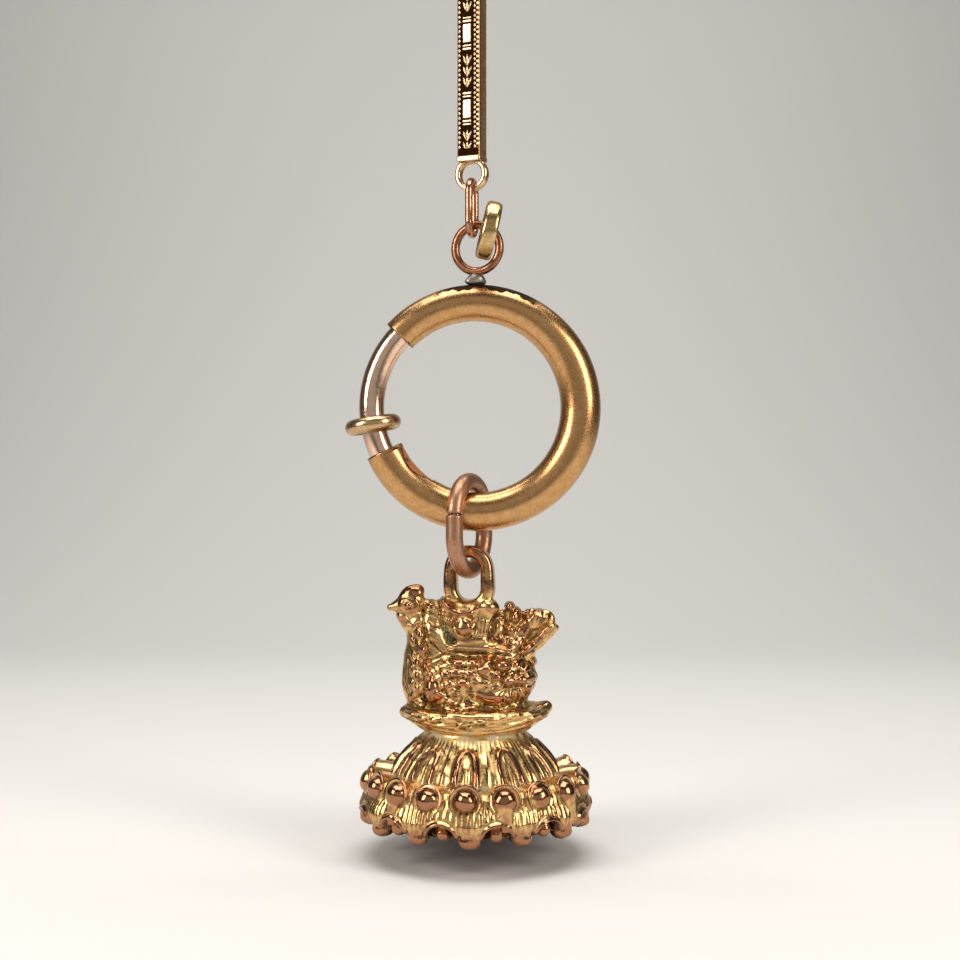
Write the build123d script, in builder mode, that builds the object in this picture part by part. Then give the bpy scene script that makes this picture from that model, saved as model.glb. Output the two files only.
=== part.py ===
from build123d import *
import os
from collections import namedtuple
from math import acos, cos, degrees, pi, radians, sin, sqrt

# A fob seal on the last bar of its chain, in millimetres, as it hangs at rest.
# The origin is the crown of the bar's top loop, +Z is up and the ring faces -Y.

os.makedirs("parts", exist_ok=True)

# Chain bar
bar_length = 15.0
bar_width = 2.0
bar_depth = 1.6
bar_yaw = -23.0
cap_length = 1.0
cap_proud = 0.06
bar_loop_hole = 1.9
bar_loop_wire = 0.5
bar_loop_band = 0.8
bar_loop_reach = 1.05

# Engraving of the bar, on its front and back
engraving_height = 0.1
pattern_repeat = 6.25
pattern_start = 3.25
panel_width = 0.78
panel_length = 1.5
rail_width = 0.2
rail_pitch = 0.26
rail_margin = 0.04
rail_count = 2
cross_bar_height = 0.18
cross_bar_pitch = 0.34
cross_bar_count = 2
sprig_tiers = 3
sprig_pitch = 0.85
sprig_leaf_length = 0.8
sprig_leaf_width = 0.24
sprig_leaf_lean = 28.0

# Links between the bar and the ring
link_gap = 0.06
small_link_length = 5.05
small_link_width = 2.7
small_link_wire = 0.62
small_link_yaw = 20.0
eyelet_outer = 4.6
eyelet_wire = 0.72
eyelet_shift = 0.45
eyelet_gap = 0.14
eyelet_yaw = -19.0
solder_height = 0.65
solder_width = 1.5
solder_depth = 1.3
solder_sink = 0.25
band_outer = 4.85
band_wall = 0.36
band_width = 1.27
band_shift = 1.4
band_forward = 1.61
band_rise = 1.2
band_yaw = 4.0
band_lean = 13.0

# Bolt ring
ring_shift = 0.35
ring_radius = 8.7
tube_radius = 1.62
bore_radius = 1.14
mouth_angle = 137.0
lower_end_angle = -154.5
lower_end_inset = 0.3
bore_overrun = 1.0
bolt_radius = 1.05
bolt_tip_angle = -151.0
bolt_tail_angle = 62.0
collar_angle = -170.5
collar_outer = 4.7
collar_thickness = 1.3
collar_hub = 0.9
slit_length = 2.4
slit_width = 0.22

# Split link
split_link_gap = 0.22
split_link_length = 8.83
split_link_width = 7.4
split_link_wire = 1.42
split_link_yaw = 24.0
split_link_shift = -0.2
seam_width = 0.08
seam_level = 1.0

# Share of a thickness that its softened edge takes
edge_share = 0.4

# Seal
seal_shift = 0.29
seal_loop_hole = 2.14
seal_loop_length = 3.2
seal_loop_wire = 0.9
seal_loop_band = 1.4
seal_loop_yaw = -12.0
seal_loop_sink = 0.55

rim_radius = 9.6
rim_height = 3.7
skirt_width = 1.3
collar_width = 0.96
land_height = 0.3
skirt_height = 0.75
skirt_flare = 0.3
skirt_belly = 0.7
skirt_top = 0.5
skirt_drop = 0.4
lobe_count = 13
lobe_radius = 0.95
lobe_inset = 1.05
lobe_phase = -3.0
arch_radius = 1.3
arch_height = 0.35
rim_ball_radius = 0.58
rim_ball_height = 0.74
bead_count = 18
bead_radius = 0.85
bead_inset = 1.05
bead_drop = 0.45
bead_phase = -5.0
bead_lift = 12.0
cup_radius = 1.14
cup_rim = 0.16
cup_depth = 1.4
cup_proud = 0.12
dome_inset = 1.55
dome_bend = 3.6
waist_radius = 3.8
waist_stub = 0.4
arch_count = 11
arch_phase = -7.0
rib_radius = 0.14
rib_start = 8.0
rib_end = 76.0
leaf_rib_radius = 0.2
leaf_end = 50.0
leaf_spread = 9.0

stone_thickness = 1.3
stone_gap = 0.04
stone_bevel = 0.4
base_recess = 0.45

bird_length = 11.3
bird_depth = 5.7
bird_height = 5.4
bird_left = -6.3
bird_belly = 9.3
neck_rise = 2.9
neck_height = 7.1
neck_length = 4.4
neck_depth = 4.2
head_back = 0.85
head_rise = 5.55
beak_reach = 1.95
beak_length = 1.9
beak_radius = 0.6
beak_tip_radius = 0.15
crest_back = 0.3
crest_rise = 1.25
crest_radius = 0.62
crest_stretch = 2.0
crest_tilt = -24.0
eye_radius = 0.32
eye_spread = 1.0
mantle_length = 2.6
mantle_height = 4.6
mantle_depth = 3.0
mantle_back = 3.15

pedestal_length = 5.4
pedestal_depth = 3.6
pedestal_height = 4.6
pedestal_sink = 1.1
pedestal_back = 5.35
lump_shift = 0.85
lump_radius = 0.8

fan_inset = 2.0
fan_sink = 1.6
fan_reach = 4.7
fan_middle_angle = 77.0
feather_width = 1.35
feather_thickness = 1.3
feather_step = 16.0
feather_spread = 0.7

wing_length = 7.2
wing_height = 3.9
wing_rise = 2.6
wing_back = 5.8
wing_tilt = 6.0
wing_proud = 0.15
wing_thickness = 1.3
wing_narrowing = 0.88
scale_length = 0.95
scale_height = 0.7
scale_proud = 0.2
scale_pitch = 1.05
primary_count = 3
primary_length = 3.2
primary_width = 0.42
primary_back = 1.3
primary_low = 0.55
primary_pitch = 0.45
shoulder_length = 0.8
shoulder_height = 1.9
shoulder_low = 0.4

plate_length = 12.6
plate_depth = 7.0
belly_sink = 0.2
stub_radius = 0.5
stub_length = 2.4
stub_drop = 0.25

# Levels and places that follow from the sizes above
top_loop_z = -bar_loop_hole / 2
bar_middle_z = top_loop_z - bar_loop_reach - bar_length / 2
low_loop_z = bar_middle_z - bar_length / 2 - bar_loop_reach
small_link_top = low_loop_z - bar_loop_hole / 2 + link_gap + small_link_wire
small_link_bottom = small_link_top - small_link_length
eyelet_top = small_link_bottom + small_link_wire + eyelet_gap + eyelet_wire
eyelet_z = eyelet_top - eyelet_outer / 2
band_z = eyelet_z + band_rise
ring_top_z = eyelet_z - eyelet_outer / 2 - solder_height
ring_z = ring_top_z - ring_radius - tube_radius
tube_bottom_z = ring_z - ring_radius
split_link_top = tube_bottom_z + tube_radius + split_link_gap + split_link_wire
split_link_z = split_link_top - split_link_length / 2
pivot_z = split_link_top - split_link_length + split_link_wire / 2
ring_centre = Vector(ring_shift, 0, ring_z)
pattern_length = bar_length - 2 * cap_length
engraving_width = bar_width - 2 * rail_margin

# Radii of the seal's base, each set in from the one outside it
collar_radius = rim_radius - skirt_width
recess_radius = collar_radius - collar_width
stone_radius = recess_radius - stone_gap
bead_ring_radius = rim_radius - bead_inset
bead_height = rim_height - bead_drop
dome_foot_radius = bead_ring_radius - dome_inset

# Places on the bird, from its breast and belly, as heights above the seal's foot
bird_back = bird_belly + bird_height
neck_level = bird_belly + neck_rise
head_forward = bird_left + head_back
head_level = neck_level + head_rise
beak_tip = head_forward - beak_reach
crest_forward = head_forward + crest_back
crest_level = head_level + crest_rise
mantle_shift = bird_left + mantle_back
pedestal_shift = bird_left + pedestal_back
pedestal_level = bird_back - pedestal_sink
pedestal_top = pedestal_level + pedestal_height
fan_root = bird_left + bird_length - fan_inset
fan_level = bird_back - fan_sink
wing_shift = bird_left + wing_back
wing_level = bird_belly + wing_rise
wing_out = bird_depth / 2 + wing_proud
wing_root = wing_out - wing_thickness
plate_top = bird_belly + belly_sink
stub_level = plate_top - stub_drop
loop_straight = seal_loop_length - seal_loop_hole
loop_reach_down = loop_straight + seal_loop_hole / 2 + seal_loop_wire
base_z = pivot_z - loop_reach_down + seal_loop_sink - pedestal_top

# Frame of the seal: its foot, its upright middle plane and its axis
seal_foot = Plane(origin=(seal_shift, 0, base_z))
seal_side = Plane(origin=seal_foot.origin, x_dir=(1, 0, 0), z_dir=(0, -1, 0))
seal_axis = Axis(seal_foot.origin, (0, 0, 1))
dome_centre = Vector(dome_foot_radius - dome_bend, 0, rim_height)
waist_turn = acos((waist_radius - dome_centre.X) / dome_bend)
waist_level = rim_height + dome_bend * sin(waist_turn)
seat_top = base_recess + stone_thickness + stone_gap
lobe_step = 360 / lobe_count
arch_step = 360 / arch_count
front = -90.0

# Stations along the ring's tube: shares of the way to the lower end, the tube radius and the inset
TubeStation = namedtuple("TubeStation", "turn swell inset")
tube_stations = [
    TubeStation(turn=0.00, swell=0.90, inset=0.0),
    TubeStation(turn=0.12, swell=0.93, inset=0.0),
    TubeStation(turn=0.25, swell=0.97, inset=0.0),
    TubeStation(turn=0.38, swell=1.03, inset=0.0),
    TubeStation(turn=0.52, swell=1.04, inset=0.0),
    TubeStation(turn=0.66, swell=1.01, inset=0.0),
    TubeStation(turn=0.80, swell=1.00, inset=0.0),
    TubeStation(turn=0.91, swell=1.02, inset=0.5),
    TubeStation(turn=1.00, swell=1.01, inset=1.0),
]

# Sections across the bird's body: share of its length from the left, then shares of its height and depth
BodySection = namedtuple("BodySection", "along level tall wide")
body_sections = [
    BodySection(along=0.00, level=0.50, tall=0.36, wide=0.30),
    BodySection(along=0.07, level=0.50, tall=0.68, wide=0.60),
    BodySection(along=0.24, level=0.50, tall=0.94, wide=0.92),
    BodySection(along=0.50, level=0.50, tall=1.00, wide=1.00),
    BodySection(along=0.76, level=0.52, tall=0.94, wide=0.90),
    BodySection(along=0.94, level=0.54, tall=0.70, wide=0.62),
    BodySection(along=1.00, level=0.55, tall=0.44, wide=0.36),
]

# Sections up the bird's breast, neck and head: shares of the neck's height, length and depth
NeckSection = namedtuple("NeckSection", "up back long wide")
neck_sections = [
    NeckSection(up=0.00, back=0.36, long=1.00, wide=1.00),
    NeckSection(up=0.24, back=0.29, long=0.86, wide=0.86),
    NeckSection(up=0.44, back=0.17, long=0.62, wide=0.64),
    NeckSection(up=0.57, back=0.10, long=0.52, wide=0.55),
    NeckSection(up=0.70, back=0.02, long=0.60, wide=0.58),
    NeckSection(up=0.83, back=0.00, long=0.62, wide=0.56),
    NeckSection(up=0.94, back=0.04, long=0.46, wide=0.38),
    NeckSection(up=1.00, back=0.06, long=0.26, wide=0.18),
]

# Sections up the pedestal: shares of its height, length and depth
PedestalSection = namedtuple("PedestalSection", "up long wide")
pedestal_sections = [
    PedestalSection(up=0.00, long=1.12, wide=1.10),
    PedestalSection(up=0.30, long=0.92, wide=1.00),
    PedestalSection(up=0.70, long=1.00, wide=0.96),
    PedestalSection(up=0.92, long=0.84, wide=0.66),
    PedestalSection(up=1.00, long=0.60, wide=0.44),
]

# Sections from the waist up through the branch plate: shares of the rise, length and depth
PlateSection = namedtuple("PlateSection", "up long wide")
plate_sections = [
    PlateSection(up=0.00, long=0.50, wide=0.90),
    PlateSection(up=0.60, long=1.00, wide=1.00),
    PlateSection(up=1.00, long=0.95, wide=0.92),
]

# Feathers of the fan: steps down from its middle one, then shares of its reach and spread
Feather = namedtuple("Feather", "step reach side")
fan_feathers = [
    Feather(step=-2.0, reach=0.80, side=-0.9),
    Feather(step=-1.0, reach=0.94, side=0.7),
    Feather(step=0.0, reach=1.00, side=-0.5),
    Feather(step=1.0, reach=1.04, side=0.5),
    Feather(step=2.0, reach=1.02, side=-0.6),
    Feather(step=3.0, reach=0.96, side=0.6),
    Feather(step=4.0, reach=0.74, side=-0.4),
]

# Rows of scales on the wing: share of its height, first place as a share of its length, and count
ScaleRow = namedtuple("ScaleRow", "up start count")
scale_rows = [
    ScaleRow(up=0.30, start=-0.26, count=4),
    ScaleRow(up=0.09, start=-0.30, count=5),
    ScaleRow(up=-0.11, start=-0.20, count=3),
]


def turned_plane(origin, yaw):
    """Return an upright plane that faces -Y, turned about the vertical by yaw degrees."""
    side = radians(yaw)
    return Plane(origin=origin, x_dir=(cos(side), sin(side), 0), z_dir=(sin(side), -cos(side), 0))


def oval_link(plane, length, width, wire):
    """Return a closed oval link of round wire that lies in a plane, long side along its Y."""
    bend = (width - wire) / 2
    straight = length - width
    middle = Plane(origin=plane.origin, x_dir=plane.x_dir, z_dir=plane.y_dir)
    with BuildPart() as link:
        with BuildSketch(middle):
            with Locations((bend, 0), (-bend, 0)):
                Circle(wire / 2)
        extrude(amount=straight / 2, both=True)
        for side in (1, -1):
            centre = plane.origin + plane.y_dir * (side * straight / 2)
            with BuildSketch(middle.offset(side * straight / 2)):
                with Locations((bend, 0)):
                    Circle(wire / 2)
            revolve(axis=Axis(centre, plane.z_dir * side), revolution_arc=180)
    return link.part


def round_loop(plane, hole, wire, band):
    """Return a flat round loop with softened edges."""
    with BuildPart() as loop:
        with BuildSketch(plane):
            Circle(hole / 2 + wire)
            Circle(hole / 2, mode=Mode.SUBTRACT)
        extrude(amount=band / 2, both=True)
        fillet(loop.edges().filter_by(GeomType.CIRCLE), radius=wire * edge_share)
    return loop.part


def arc_plane(angle, radius):
    """Return the plane across the ring's tube, at an angle from +X towards +Z."""
    turn = radians(angle)
    outward = Vector(cos(turn), 0, sin(turn))
    along = Vector(-sin(turn), 0, cos(turn))
    return Plane(origin=ring_centre + outward * radius, x_dir=outward, z_dir=along)


def ring_arc(radius, start, end):
    """Return a round rod bent along the ring, from one angle to another."""
    with BuildPart() as rod:
        with BuildSketch(arc_plane(start, ring_radius)):
            Circle(radius)
        revolve(axis=Axis(ring_centre, (0, -1, 0)), revolution_arc=end - start)
    return rod.part


def ellipsoid(long, wide, tall, tilt=0.0):
    """Return an ellipsoid of the given half-sizes, tilted about Y."""
    ball = scale(Solid.make_sphere(1), by=(long, wide, tall), mode=Mode.PRIVATE)
    return ball.rotate(Axis.Y, tilt)


def dome_rib(radius, start, end):
    """Return a rib that follows the dome's curve at azimuth zero, between two angles of its bend."""
    with BuildPart() as rib:
        turn = radians(start)
        foot = dome_centre + Vector(cos(turn), 0, sin(turn)) * dome_bend
        with BuildSketch(Plane(origin=foot, x_dir=(0, 1, 0), z_dir=(-sin(turn), 0, cos(turn)))):
            Circle(radius)
        revolve(axis=Axis(dome_centre, (0, -1, 0)), revolution_arc=end - start)
    return rib.part


def cupped_bead():
    """Return a bead in its rimmed cup, facing +X about its own centre."""
    ball_edge = sqrt(bead_radius**2 - cup_proud**2)
    ball_middle = bead_radius * sin(pi / 4)
    with BuildPart() as bead:
        with BuildSketch():
            with BuildLine():
                Polyline((bead_radius, 0), (-cup_depth, 0), (-cup_depth, cup_radius), (cup_proud, cup_radius))
                ThreePointArc(
                    (cup_proud, cup_radius),
                    (cup_proud + cup_rim, (cup_radius + ball_edge) / 2),
                    (cup_proud, ball_edge),
                )
                ThreePointArc((cup_proud, ball_edge), (ball_middle, ball_middle), (bead_radius, 0))
            make_face()
        revolve(axis=Axis.X)
    return bead.part


def feather_blade(feather):
    """Return one feather of the fan, in its place on the seal's middle plane."""
    angle = fan_middle_angle - feather.step * feather_step
    reach = fan_reach * feather.reach
    across = fan_root + cos(radians(angle)) * reach / 2
    height = fan_level + sin(radians(angle)) * reach / 2
    blade = ellipsoid(reach / 2, feather_thickness / 2, feather_width / 2, -angle)
    return Location((across, feather_spread * feather.side, height)) * blade


def seal_point(across, height):
    """Return a place on the seal's middle plane, measured from its foot."""
    return seal_foot.origin + Vector(across, 0, height)


def sprig_levels():
    """Return the levels of the leaf tiers along the bar, from its middle."""
    levels = []
    centre = pattern_start - pattern_repeat / 2
    while centre < pattern_length + sprig_pitch * sprig_tiers:
        for tier in range(sprig_tiers):
            level = centre + (tier - (sprig_tiers - 1) / 2) * sprig_pitch
            if sprig_leaf_length / 2 < level < pattern_length - sprig_leaf_length / 2:
                levels.append(level - pattern_length / 2)
        centre += pattern_repeat
    return levels


def panel_levels():
    """Return the levels of the plain panels along the bar, from its middle."""
    levels = []
    centre = pattern_start
    while centre < pattern_length - panel_length:
        levels.append(centre - pattern_length / 2)
        centre += pattern_repeat
    return levels


# Chain bar
bar_front = turned_plane((0, 0, bar_middle_z), bar_yaw)
bar_back = Plane(origin=bar_front.origin, x_dir=-bar_front.x_dir, z_dir=-bar_front.z_dir)
bar_across = Plane(origin=bar_front.origin, x_dir=bar_front.x_dir, z_dir=(0, 0, 1))
cap_middle = (bar_length - cap_length) / 2
sprig_lean = radians(sprig_leaf_lean)
loop_reach = bar_length / 2 + bar_loop_reach
bar_loops = []
for side in (1, -1):
    loop_plane = turned_plane(bar_front.origin + bar_front.y_dir * (side * loop_reach), bar_yaw)
    bar_loops.append(round_loop(loop_plane, bar_loop_hole, bar_loop_wire, bar_loop_band))
with BuildPart() as chain_bar:
    with BuildSketch(bar_across):
        Rectangle(bar_width, bar_depth)
    extrude(amount=bar_length / 2, both=True)
    with BuildSketch(bar_across.offset(cap_middle), bar_across.offset(-cap_middle)):
        Rectangle(bar_width + 2 * cap_proud, bar_depth + 2 * cap_proud)
    extrude(amount=cap_length / 2, both=True)
    with BuildSketch(bar_front.offset(bar_depth / 2), bar_back.offset(bar_depth / 2)):
        for side in (1, -1):
            for rail in range(rail_count):
                with Locations((side * (engraving_width / 2 - rail_width / 2 - rail * rail_pitch), 0)):
                    Rectangle(rail_width, pattern_length)
            for level in panel_levels():
                for step in range(cross_bar_count):
                    reach = panel_length / 2 + (step + 1) * cross_bar_pitch
                    with Locations((0, level + side * reach)):
                        Rectangle(panel_width, cross_bar_height)
            for level in sprig_levels():
                with Locations((side * sin(sprig_lean) * sprig_leaf_length / 2, level)):
                    Ellipse(sprig_leaf_width / 2, sprig_leaf_length / 2, rotation=-side * sprig_leaf_lean)
        for level in panel_levels():
            with Locations((0, level)):
                Rectangle(panel_width, panel_length)
    extrude(amount=engraving_height)
    add(bar_loops)
chain_bar.part.label = "chain_bar"
export_step(chain_bar.part, "parts/chain_bar.step")

# Small link, edge on to the front
small_link_middle = (0, 0, small_link_top - small_link_length / 2)
small_link = oval_link(
    turned_plane(small_link_middle, 90 - small_link_yaw), small_link_length, small_link_width, small_link_wire
)
small_link.label = "small_link"
export_step(small_link, "parts/small_link.step")

# Bolt ring body, with the eyelet soldered on its crown
solder = ellipsoid(solder_width / 2, solder_depth / 2, solder_height / 2 + solder_sink)
bore = ring_arc(bore_radius, lower_end_angle - bore_overrun, mouth_angle + bore_overrun)
slit_turn = degrees(slit_length / ring_radius)
slit_place = arc_plane(lower_end_angle + slit_turn / 2, ring_radius - lower_end_inset - tube_radius)
with BuildPart() as bolt_ring_body:
    for station in tube_stations:
        angle = mouth_angle + (lower_end_angle - mouth_angle) * station.turn
        with BuildSketch(arc_plane(angle, ring_radius - lower_end_inset * station.inset)):
            Circle(tube_radius * station.swell)
    loft()
    with Locations((ring_shift, 0, ring_top_z + solder_height / 2)):
        add(solder)
    with Locations(turned_plane((eyelet_shift, 0, eyelet_z), eyelet_yaw)):
        Torus((eyelet_outer - eyelet_wire) / 2, eyelet_wire / 2)
    add(bore, mode=Mode.SUBTRACT)
    with Locations(slit_place):
        Box(2 * tube_radius, slit_width, slit_length, mode=Mode.SUBTRACT)
bolt_ring_body.part.label = "bolt_ring_body"
export_step(bolt_ring_body.part, "parts/bolt_ring_body.step")

# Band ring, loose on the eyelet
band_facing = turned_plane((band_shift, -band_forward, band_z), band_yaw)
band_axis = Axis(band_facing.origin, band_facing.x_dir.rotate(Axis((0, 0, 0), band_facing.z_dir), -band_lean))
band_up = band_facing.z_dir.cross(band_axis.direction)
band_section = Plane(origin=band_facing.origin, x_dir=band_up, z_dir=band_facing.z_dir)
band_inner = band_outer / 2 - band_wall
band_edge = band_inner + band_wall * edge_share
with BuildPart() as band_ring:
    with BuildSketch(band_section):
        with BuildLine():
            Polyline(
                (band_edge, -band_width / 2),
                (band_inner, -band_width / 2),
                (band_inner, band_width / 2),
                (band_edge, band_width / 2),
            )
            ThreePointArc((band_edge, band_width / 2), (band_outer / 2, 0), (band_edge, -band_width / 2))
        make_face()
    revolve(axis=band_axis)
band_ring.part.label = "band_ring"
export_step(band_ring.part, "parts/band_ring.step")

# Sliding bolt with its thumb collar
rod = ring_arc(bolt_radius, bolt_tail_angle, 360 + bolt_tip_angle)
with BuildPart() as ring_bolt:
    with Locations(arc_plane(collar_angle, ring_radius)):
        Torus((collar_outer - collar_thickness) / 2, collar_thickness / 2)
        Cylinder((collar_outer - collar_thickness) / 2, collar_hub)
    add(rod)
ring_bolt.part.label = "ring_bolt"
export_step(ring_bolt.part, "parts/ring_bolt.step")

# Split link, with its open seam in the near limb
link_plane = turned_plane((split_link_shift, 0, split_link_z), 90 - split_link_yaw)
closed_link = oval_link(link_plane, split_link_length, split_link_width, split_link_wire)
with BuildPart() as split_link:
    add(closed_link)
    with Locations(link_plane):
        with Locations(((split_link_wire - split_link_width) / 2, seam_level)):
            Box(2 * split_link_wire, seam_width, 2 * split_link_wire, mode=Mode.SUBTRACT)
split_link.part.label = "split_link"
export_step(split_link.part, "parts/split_link.step")

# Base of the seal: rim, lobes, bead row and dome
bead = cupped_bead()
rib = dome_rib(rib_radius, rib_start, rib_end)
leaf_rib = dome_rib(leaf_rib_radius, rib_start, leaf_end)
leaf_top = dome_centre + Vector(cos(radians(leaf_end)), 0, sin(radians(leaf_end))) * dome_bend
leaf_axis = Axis(leaf_top, leaf_top - dome_centre)
leaf_arch = [leaf_rib.rotate(leaf_axis, leaf_spread), leaf_rib.rotate(leaf_axis, -leaf_spread)]
with BuildPart(seal_foot) as base:
    with BuildSketch(seal_side):
        with BuildLine():
            Polyline(
                (0, seat_top),
                (recess_radius, seat_top),
                (recess_radius, land_height),
                (collar_radius, land_height),
                (collar_radius, skirt_height),
                (rim_radius - skirt_flare, skirt_height),
                (rim_radius, skirt_height + skirt_belly),
                (bead_ring_radius + skirt_top, rim_height - skirt_drop),
                (bead_ring_radius - skirt_top, rim_height),
                (dome_foot_radius, rim_height),
            )
            CenterArc((dome_centre.X, dome_centre.Z), dome_bend, start_angle=0, arc_size=degrees(waist_turn))
            Polyline(
                (waist_radius, waist_level),
                (waist_radius, waist_level + waist_stub),
                (0, waist_level + waist_stub),
                (0, seat_top),
            )
        make_face()
    revolve(axis=seal_axis)
    with PolarLocations(rim_radius, lobe_count, start_angle=front + lobe_phase + lobe_step / 2):
        with Locations((0, 0, arch_height)):
            Cylinder(arch_radius, 2 * (rim_radius - collar_radius), rotation=(0, 90, 0), mode=Mode.SUBTRACT)
    with PolarLocations(rim_radius - lobe_inset, lobe_count, start_angle=front + lobe_phase):
        with Locations((0, 0, lobe_radius)):
            Sphere(lobe_radius)
    with PolarLocations(collar_radius, lobe_count, start_angle=front + lobe_phase + lobe_step / 2):
        with Locations((rim_ball_radius / 2, 0, rim_ball_height)):
            Sphere(rim_ball_radius)
    with PolarLocations(0, arch_count, start_angle=front + arch_phase + arch_step / 2):
        add(rib)
    with PolarLocations(0, arch_count, start_angle=front + arch_phase):
        add(leaf_arch)
    with PolarLocations(bead_ring_radius, bead_count, start_angle=front + bead_phase):
        with Locations(Location((0, 0, bead_height), (0, -bead_lift, 0))):
            add(bead)

# Figure of the seal: bird, pedestal, branch plate and loop
mantle = ellipsoid(mantle_length / 2, mantle_depth / 2, mantle_height / 2)
crest = ellipsoid(crest_stretch * crest_radius, crest_radius, crest_radius, crest_tilt)
feathers = [feather_blade(feather) for feather in fan_feathers]
with BuildPart(seal_foot) as figure:
    for section in body_sections:
        middle = seal_point(bird_left + bird_length * section.along, bird_belly + bird_height * section.level)
        with BuildSketch(Plane(origin=middle, x_dir=(0, 1, 0), z_dir=(1, 0, 0))):
            Ellipse(bird_depth / 2 * section.wide, bird_height / 2 * section.tall)
    loft()
    for section in neck_sections:
        middle = seal_point(head_forward + neck_length * section.back, neck_level + neck_height * section.up)
        with BuildSketch(Plane(origin=middle)):
            Ellipse(neck_length / 2 * section.long, neck_depth / 2 * section.wide)
    loft()
    for section in pedestal_sections:
        middle = seal_point(pedestal_shift, pedestal_level + pedestal_height * section.up)
        with BuildSketch(Plane(origin=middle)):
            Ellipse(pedestal_length / 2 * section.long, pedestal_depth / 2 * section.wide)
    loft()
    for section in plate_sections:
        middle = seal_point(0, waist_level + (plate_top - waist_level) * section.up)
        with BuildSketch(Plane(origin=middle)):
            Ellipse(plate_length / 2 * section.long, plate_depth / 2 * section.wide)
    loft(ruled=True)
    with Locations(((plate_length - stub_length) / 2, 0, stub_level)):
        Cylinder(stub_radius, stub_length, rotation=(0, 90, 0))
    with Locations((plate_length / 2, 0, stub_level)):
        Sphere(stub_radius)
    with Locations((beak_tip + beak_length / 2, 0, head_level)):
        Cone(beak_radius, beak_tip_radius, beak_length, rotation=(0, -90, 0))
    with Locations((mantle_shift, 0, pedestal_level + mantle_height / 2)):
        add(mantle)
    with Locations((crest_forward, 0, crest_level)):
        add(crest)
    add(feathers)
    with Locations((pedestal_shift + lump_shift, 0, pedestal_top - lump_radius)):
        Sphere(lump_radius)
    for side in (1, -1):
        with Locations((head_forward, side * eye_spread, head_level)):
            Sphere(eye_radius)
        for depth, share in ((wing_root, 1), (wing_out, wing_narrowing)):
            with BuildSketch(seal_side.offset(side * depth)):
                with Locations((wing_shift, wing_level)):
                    Ellipse(wing_length / 2 * share, wing_height / 2 * share, rotation=wing_tilt)
        loft()
        with BuildSketch(seal_side.offset(side * wing_out)):
            with Locations((wing_shift, wing_level)):
                for row in scale_rows:
                    for step in range(row.count):
                        with Locations((row.start * wing_length + step * scale_pitch, row.up * wing_height)):
                            Ellipse(scale_length / 2, scale_height / 2)
                for step in range(primary_count):
                    with Locations((primary_back, -primary_low - step * primary_pitch)):
                        SlotOverall(primary_length, primary_width, rotation=wing_tilt)
                with Locations((shoulder_length - wing_length / 2, -shoulder_low)):
                    Ellipse(shoulder_length / 2, shoulder_height / 2)
        extrude(amount=side * scale_proud)
    with BuildSketch(turned_plane((split_link_shift, 0, pivot_z), seal_loop_yaw)):
        with Locations((0, -loop_straight / 2)):
            SlotCenterToCenter(loop_straight, seal_loop_hole + 2 * seal_loop_wire, rotation=90)
            SlotCenterToCenter(loop_straight, seal_loop_hole, rotation=90, mode=Mode.SUBTRACT)
    extrude(amount=seal_loop_band / 2, both=True)

# Seal body, in one casting
with BuildPart() as seal_body:
    add([base.part, figure.part])
seal_body.part.label = "seal_body"
export_step(seal_body.part, "parts/seal_body.step")

# Stone plate in the base
with BuildPart() as seal_stone:
    with BuildSketch(seal_foot.offset(base_recess)):
        Circle(stone_radius)
    extrude(amount=stone_thickness)
    chamfer(seal_stone.edges().filter_by(GeomType.CIRCLE).sort_by(Axis.Z)[0], length=stone_bevel)
seal_stone.part.label = "seal_stone"
export_step(seal_stone.part, "parts/seal_stone.step")
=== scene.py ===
"""Dressed scene of a fob seal that hangs from the last bar of its chain.

Lengths are in millimetres and angles in degrees. The seal is shaped in its own frame, with its foot at
height 0 and its front towards -Y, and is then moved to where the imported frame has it.
"""

import logging
from dataclasses import dataclass, field
from enum import Enum
from typing import Sequence

import bpy
import numpy as np
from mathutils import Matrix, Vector


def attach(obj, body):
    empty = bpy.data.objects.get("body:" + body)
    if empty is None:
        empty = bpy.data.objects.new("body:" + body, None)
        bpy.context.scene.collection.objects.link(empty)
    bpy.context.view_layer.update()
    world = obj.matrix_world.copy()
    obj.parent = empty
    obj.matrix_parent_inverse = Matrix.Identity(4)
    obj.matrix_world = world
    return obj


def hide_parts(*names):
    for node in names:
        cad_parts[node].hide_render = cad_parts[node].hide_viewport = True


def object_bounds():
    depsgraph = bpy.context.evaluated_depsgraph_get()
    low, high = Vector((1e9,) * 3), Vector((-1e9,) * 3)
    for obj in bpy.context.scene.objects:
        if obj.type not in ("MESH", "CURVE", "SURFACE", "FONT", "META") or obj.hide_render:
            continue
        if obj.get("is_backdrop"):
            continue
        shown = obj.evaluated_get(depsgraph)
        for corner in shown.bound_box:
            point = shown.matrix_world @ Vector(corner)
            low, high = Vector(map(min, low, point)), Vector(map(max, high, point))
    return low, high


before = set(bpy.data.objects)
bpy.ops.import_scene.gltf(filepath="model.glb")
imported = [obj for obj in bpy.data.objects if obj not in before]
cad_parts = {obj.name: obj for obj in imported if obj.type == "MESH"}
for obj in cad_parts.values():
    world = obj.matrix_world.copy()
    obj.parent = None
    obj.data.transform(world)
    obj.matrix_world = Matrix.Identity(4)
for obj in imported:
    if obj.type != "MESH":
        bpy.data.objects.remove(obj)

logging.basicConfig(level=logging.INFO, format="%(message)s")
LOG = logging.getLogger("fob_seal")

MM = 0.001
SEED = 7
SEAL_FOOT = (0.29, 0.0, -71.70)

Array = np.ndarray
Point = tuple[float, float, float]
Line = Sequence[tuple[float, float]]


class Body(str, Enum):
    """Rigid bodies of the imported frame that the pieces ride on."""

    HANGER = "hanger"
    BOLT = "bolt"
    LINK = "link"
    SEAL = "seal"


# Colour and nodes


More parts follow.
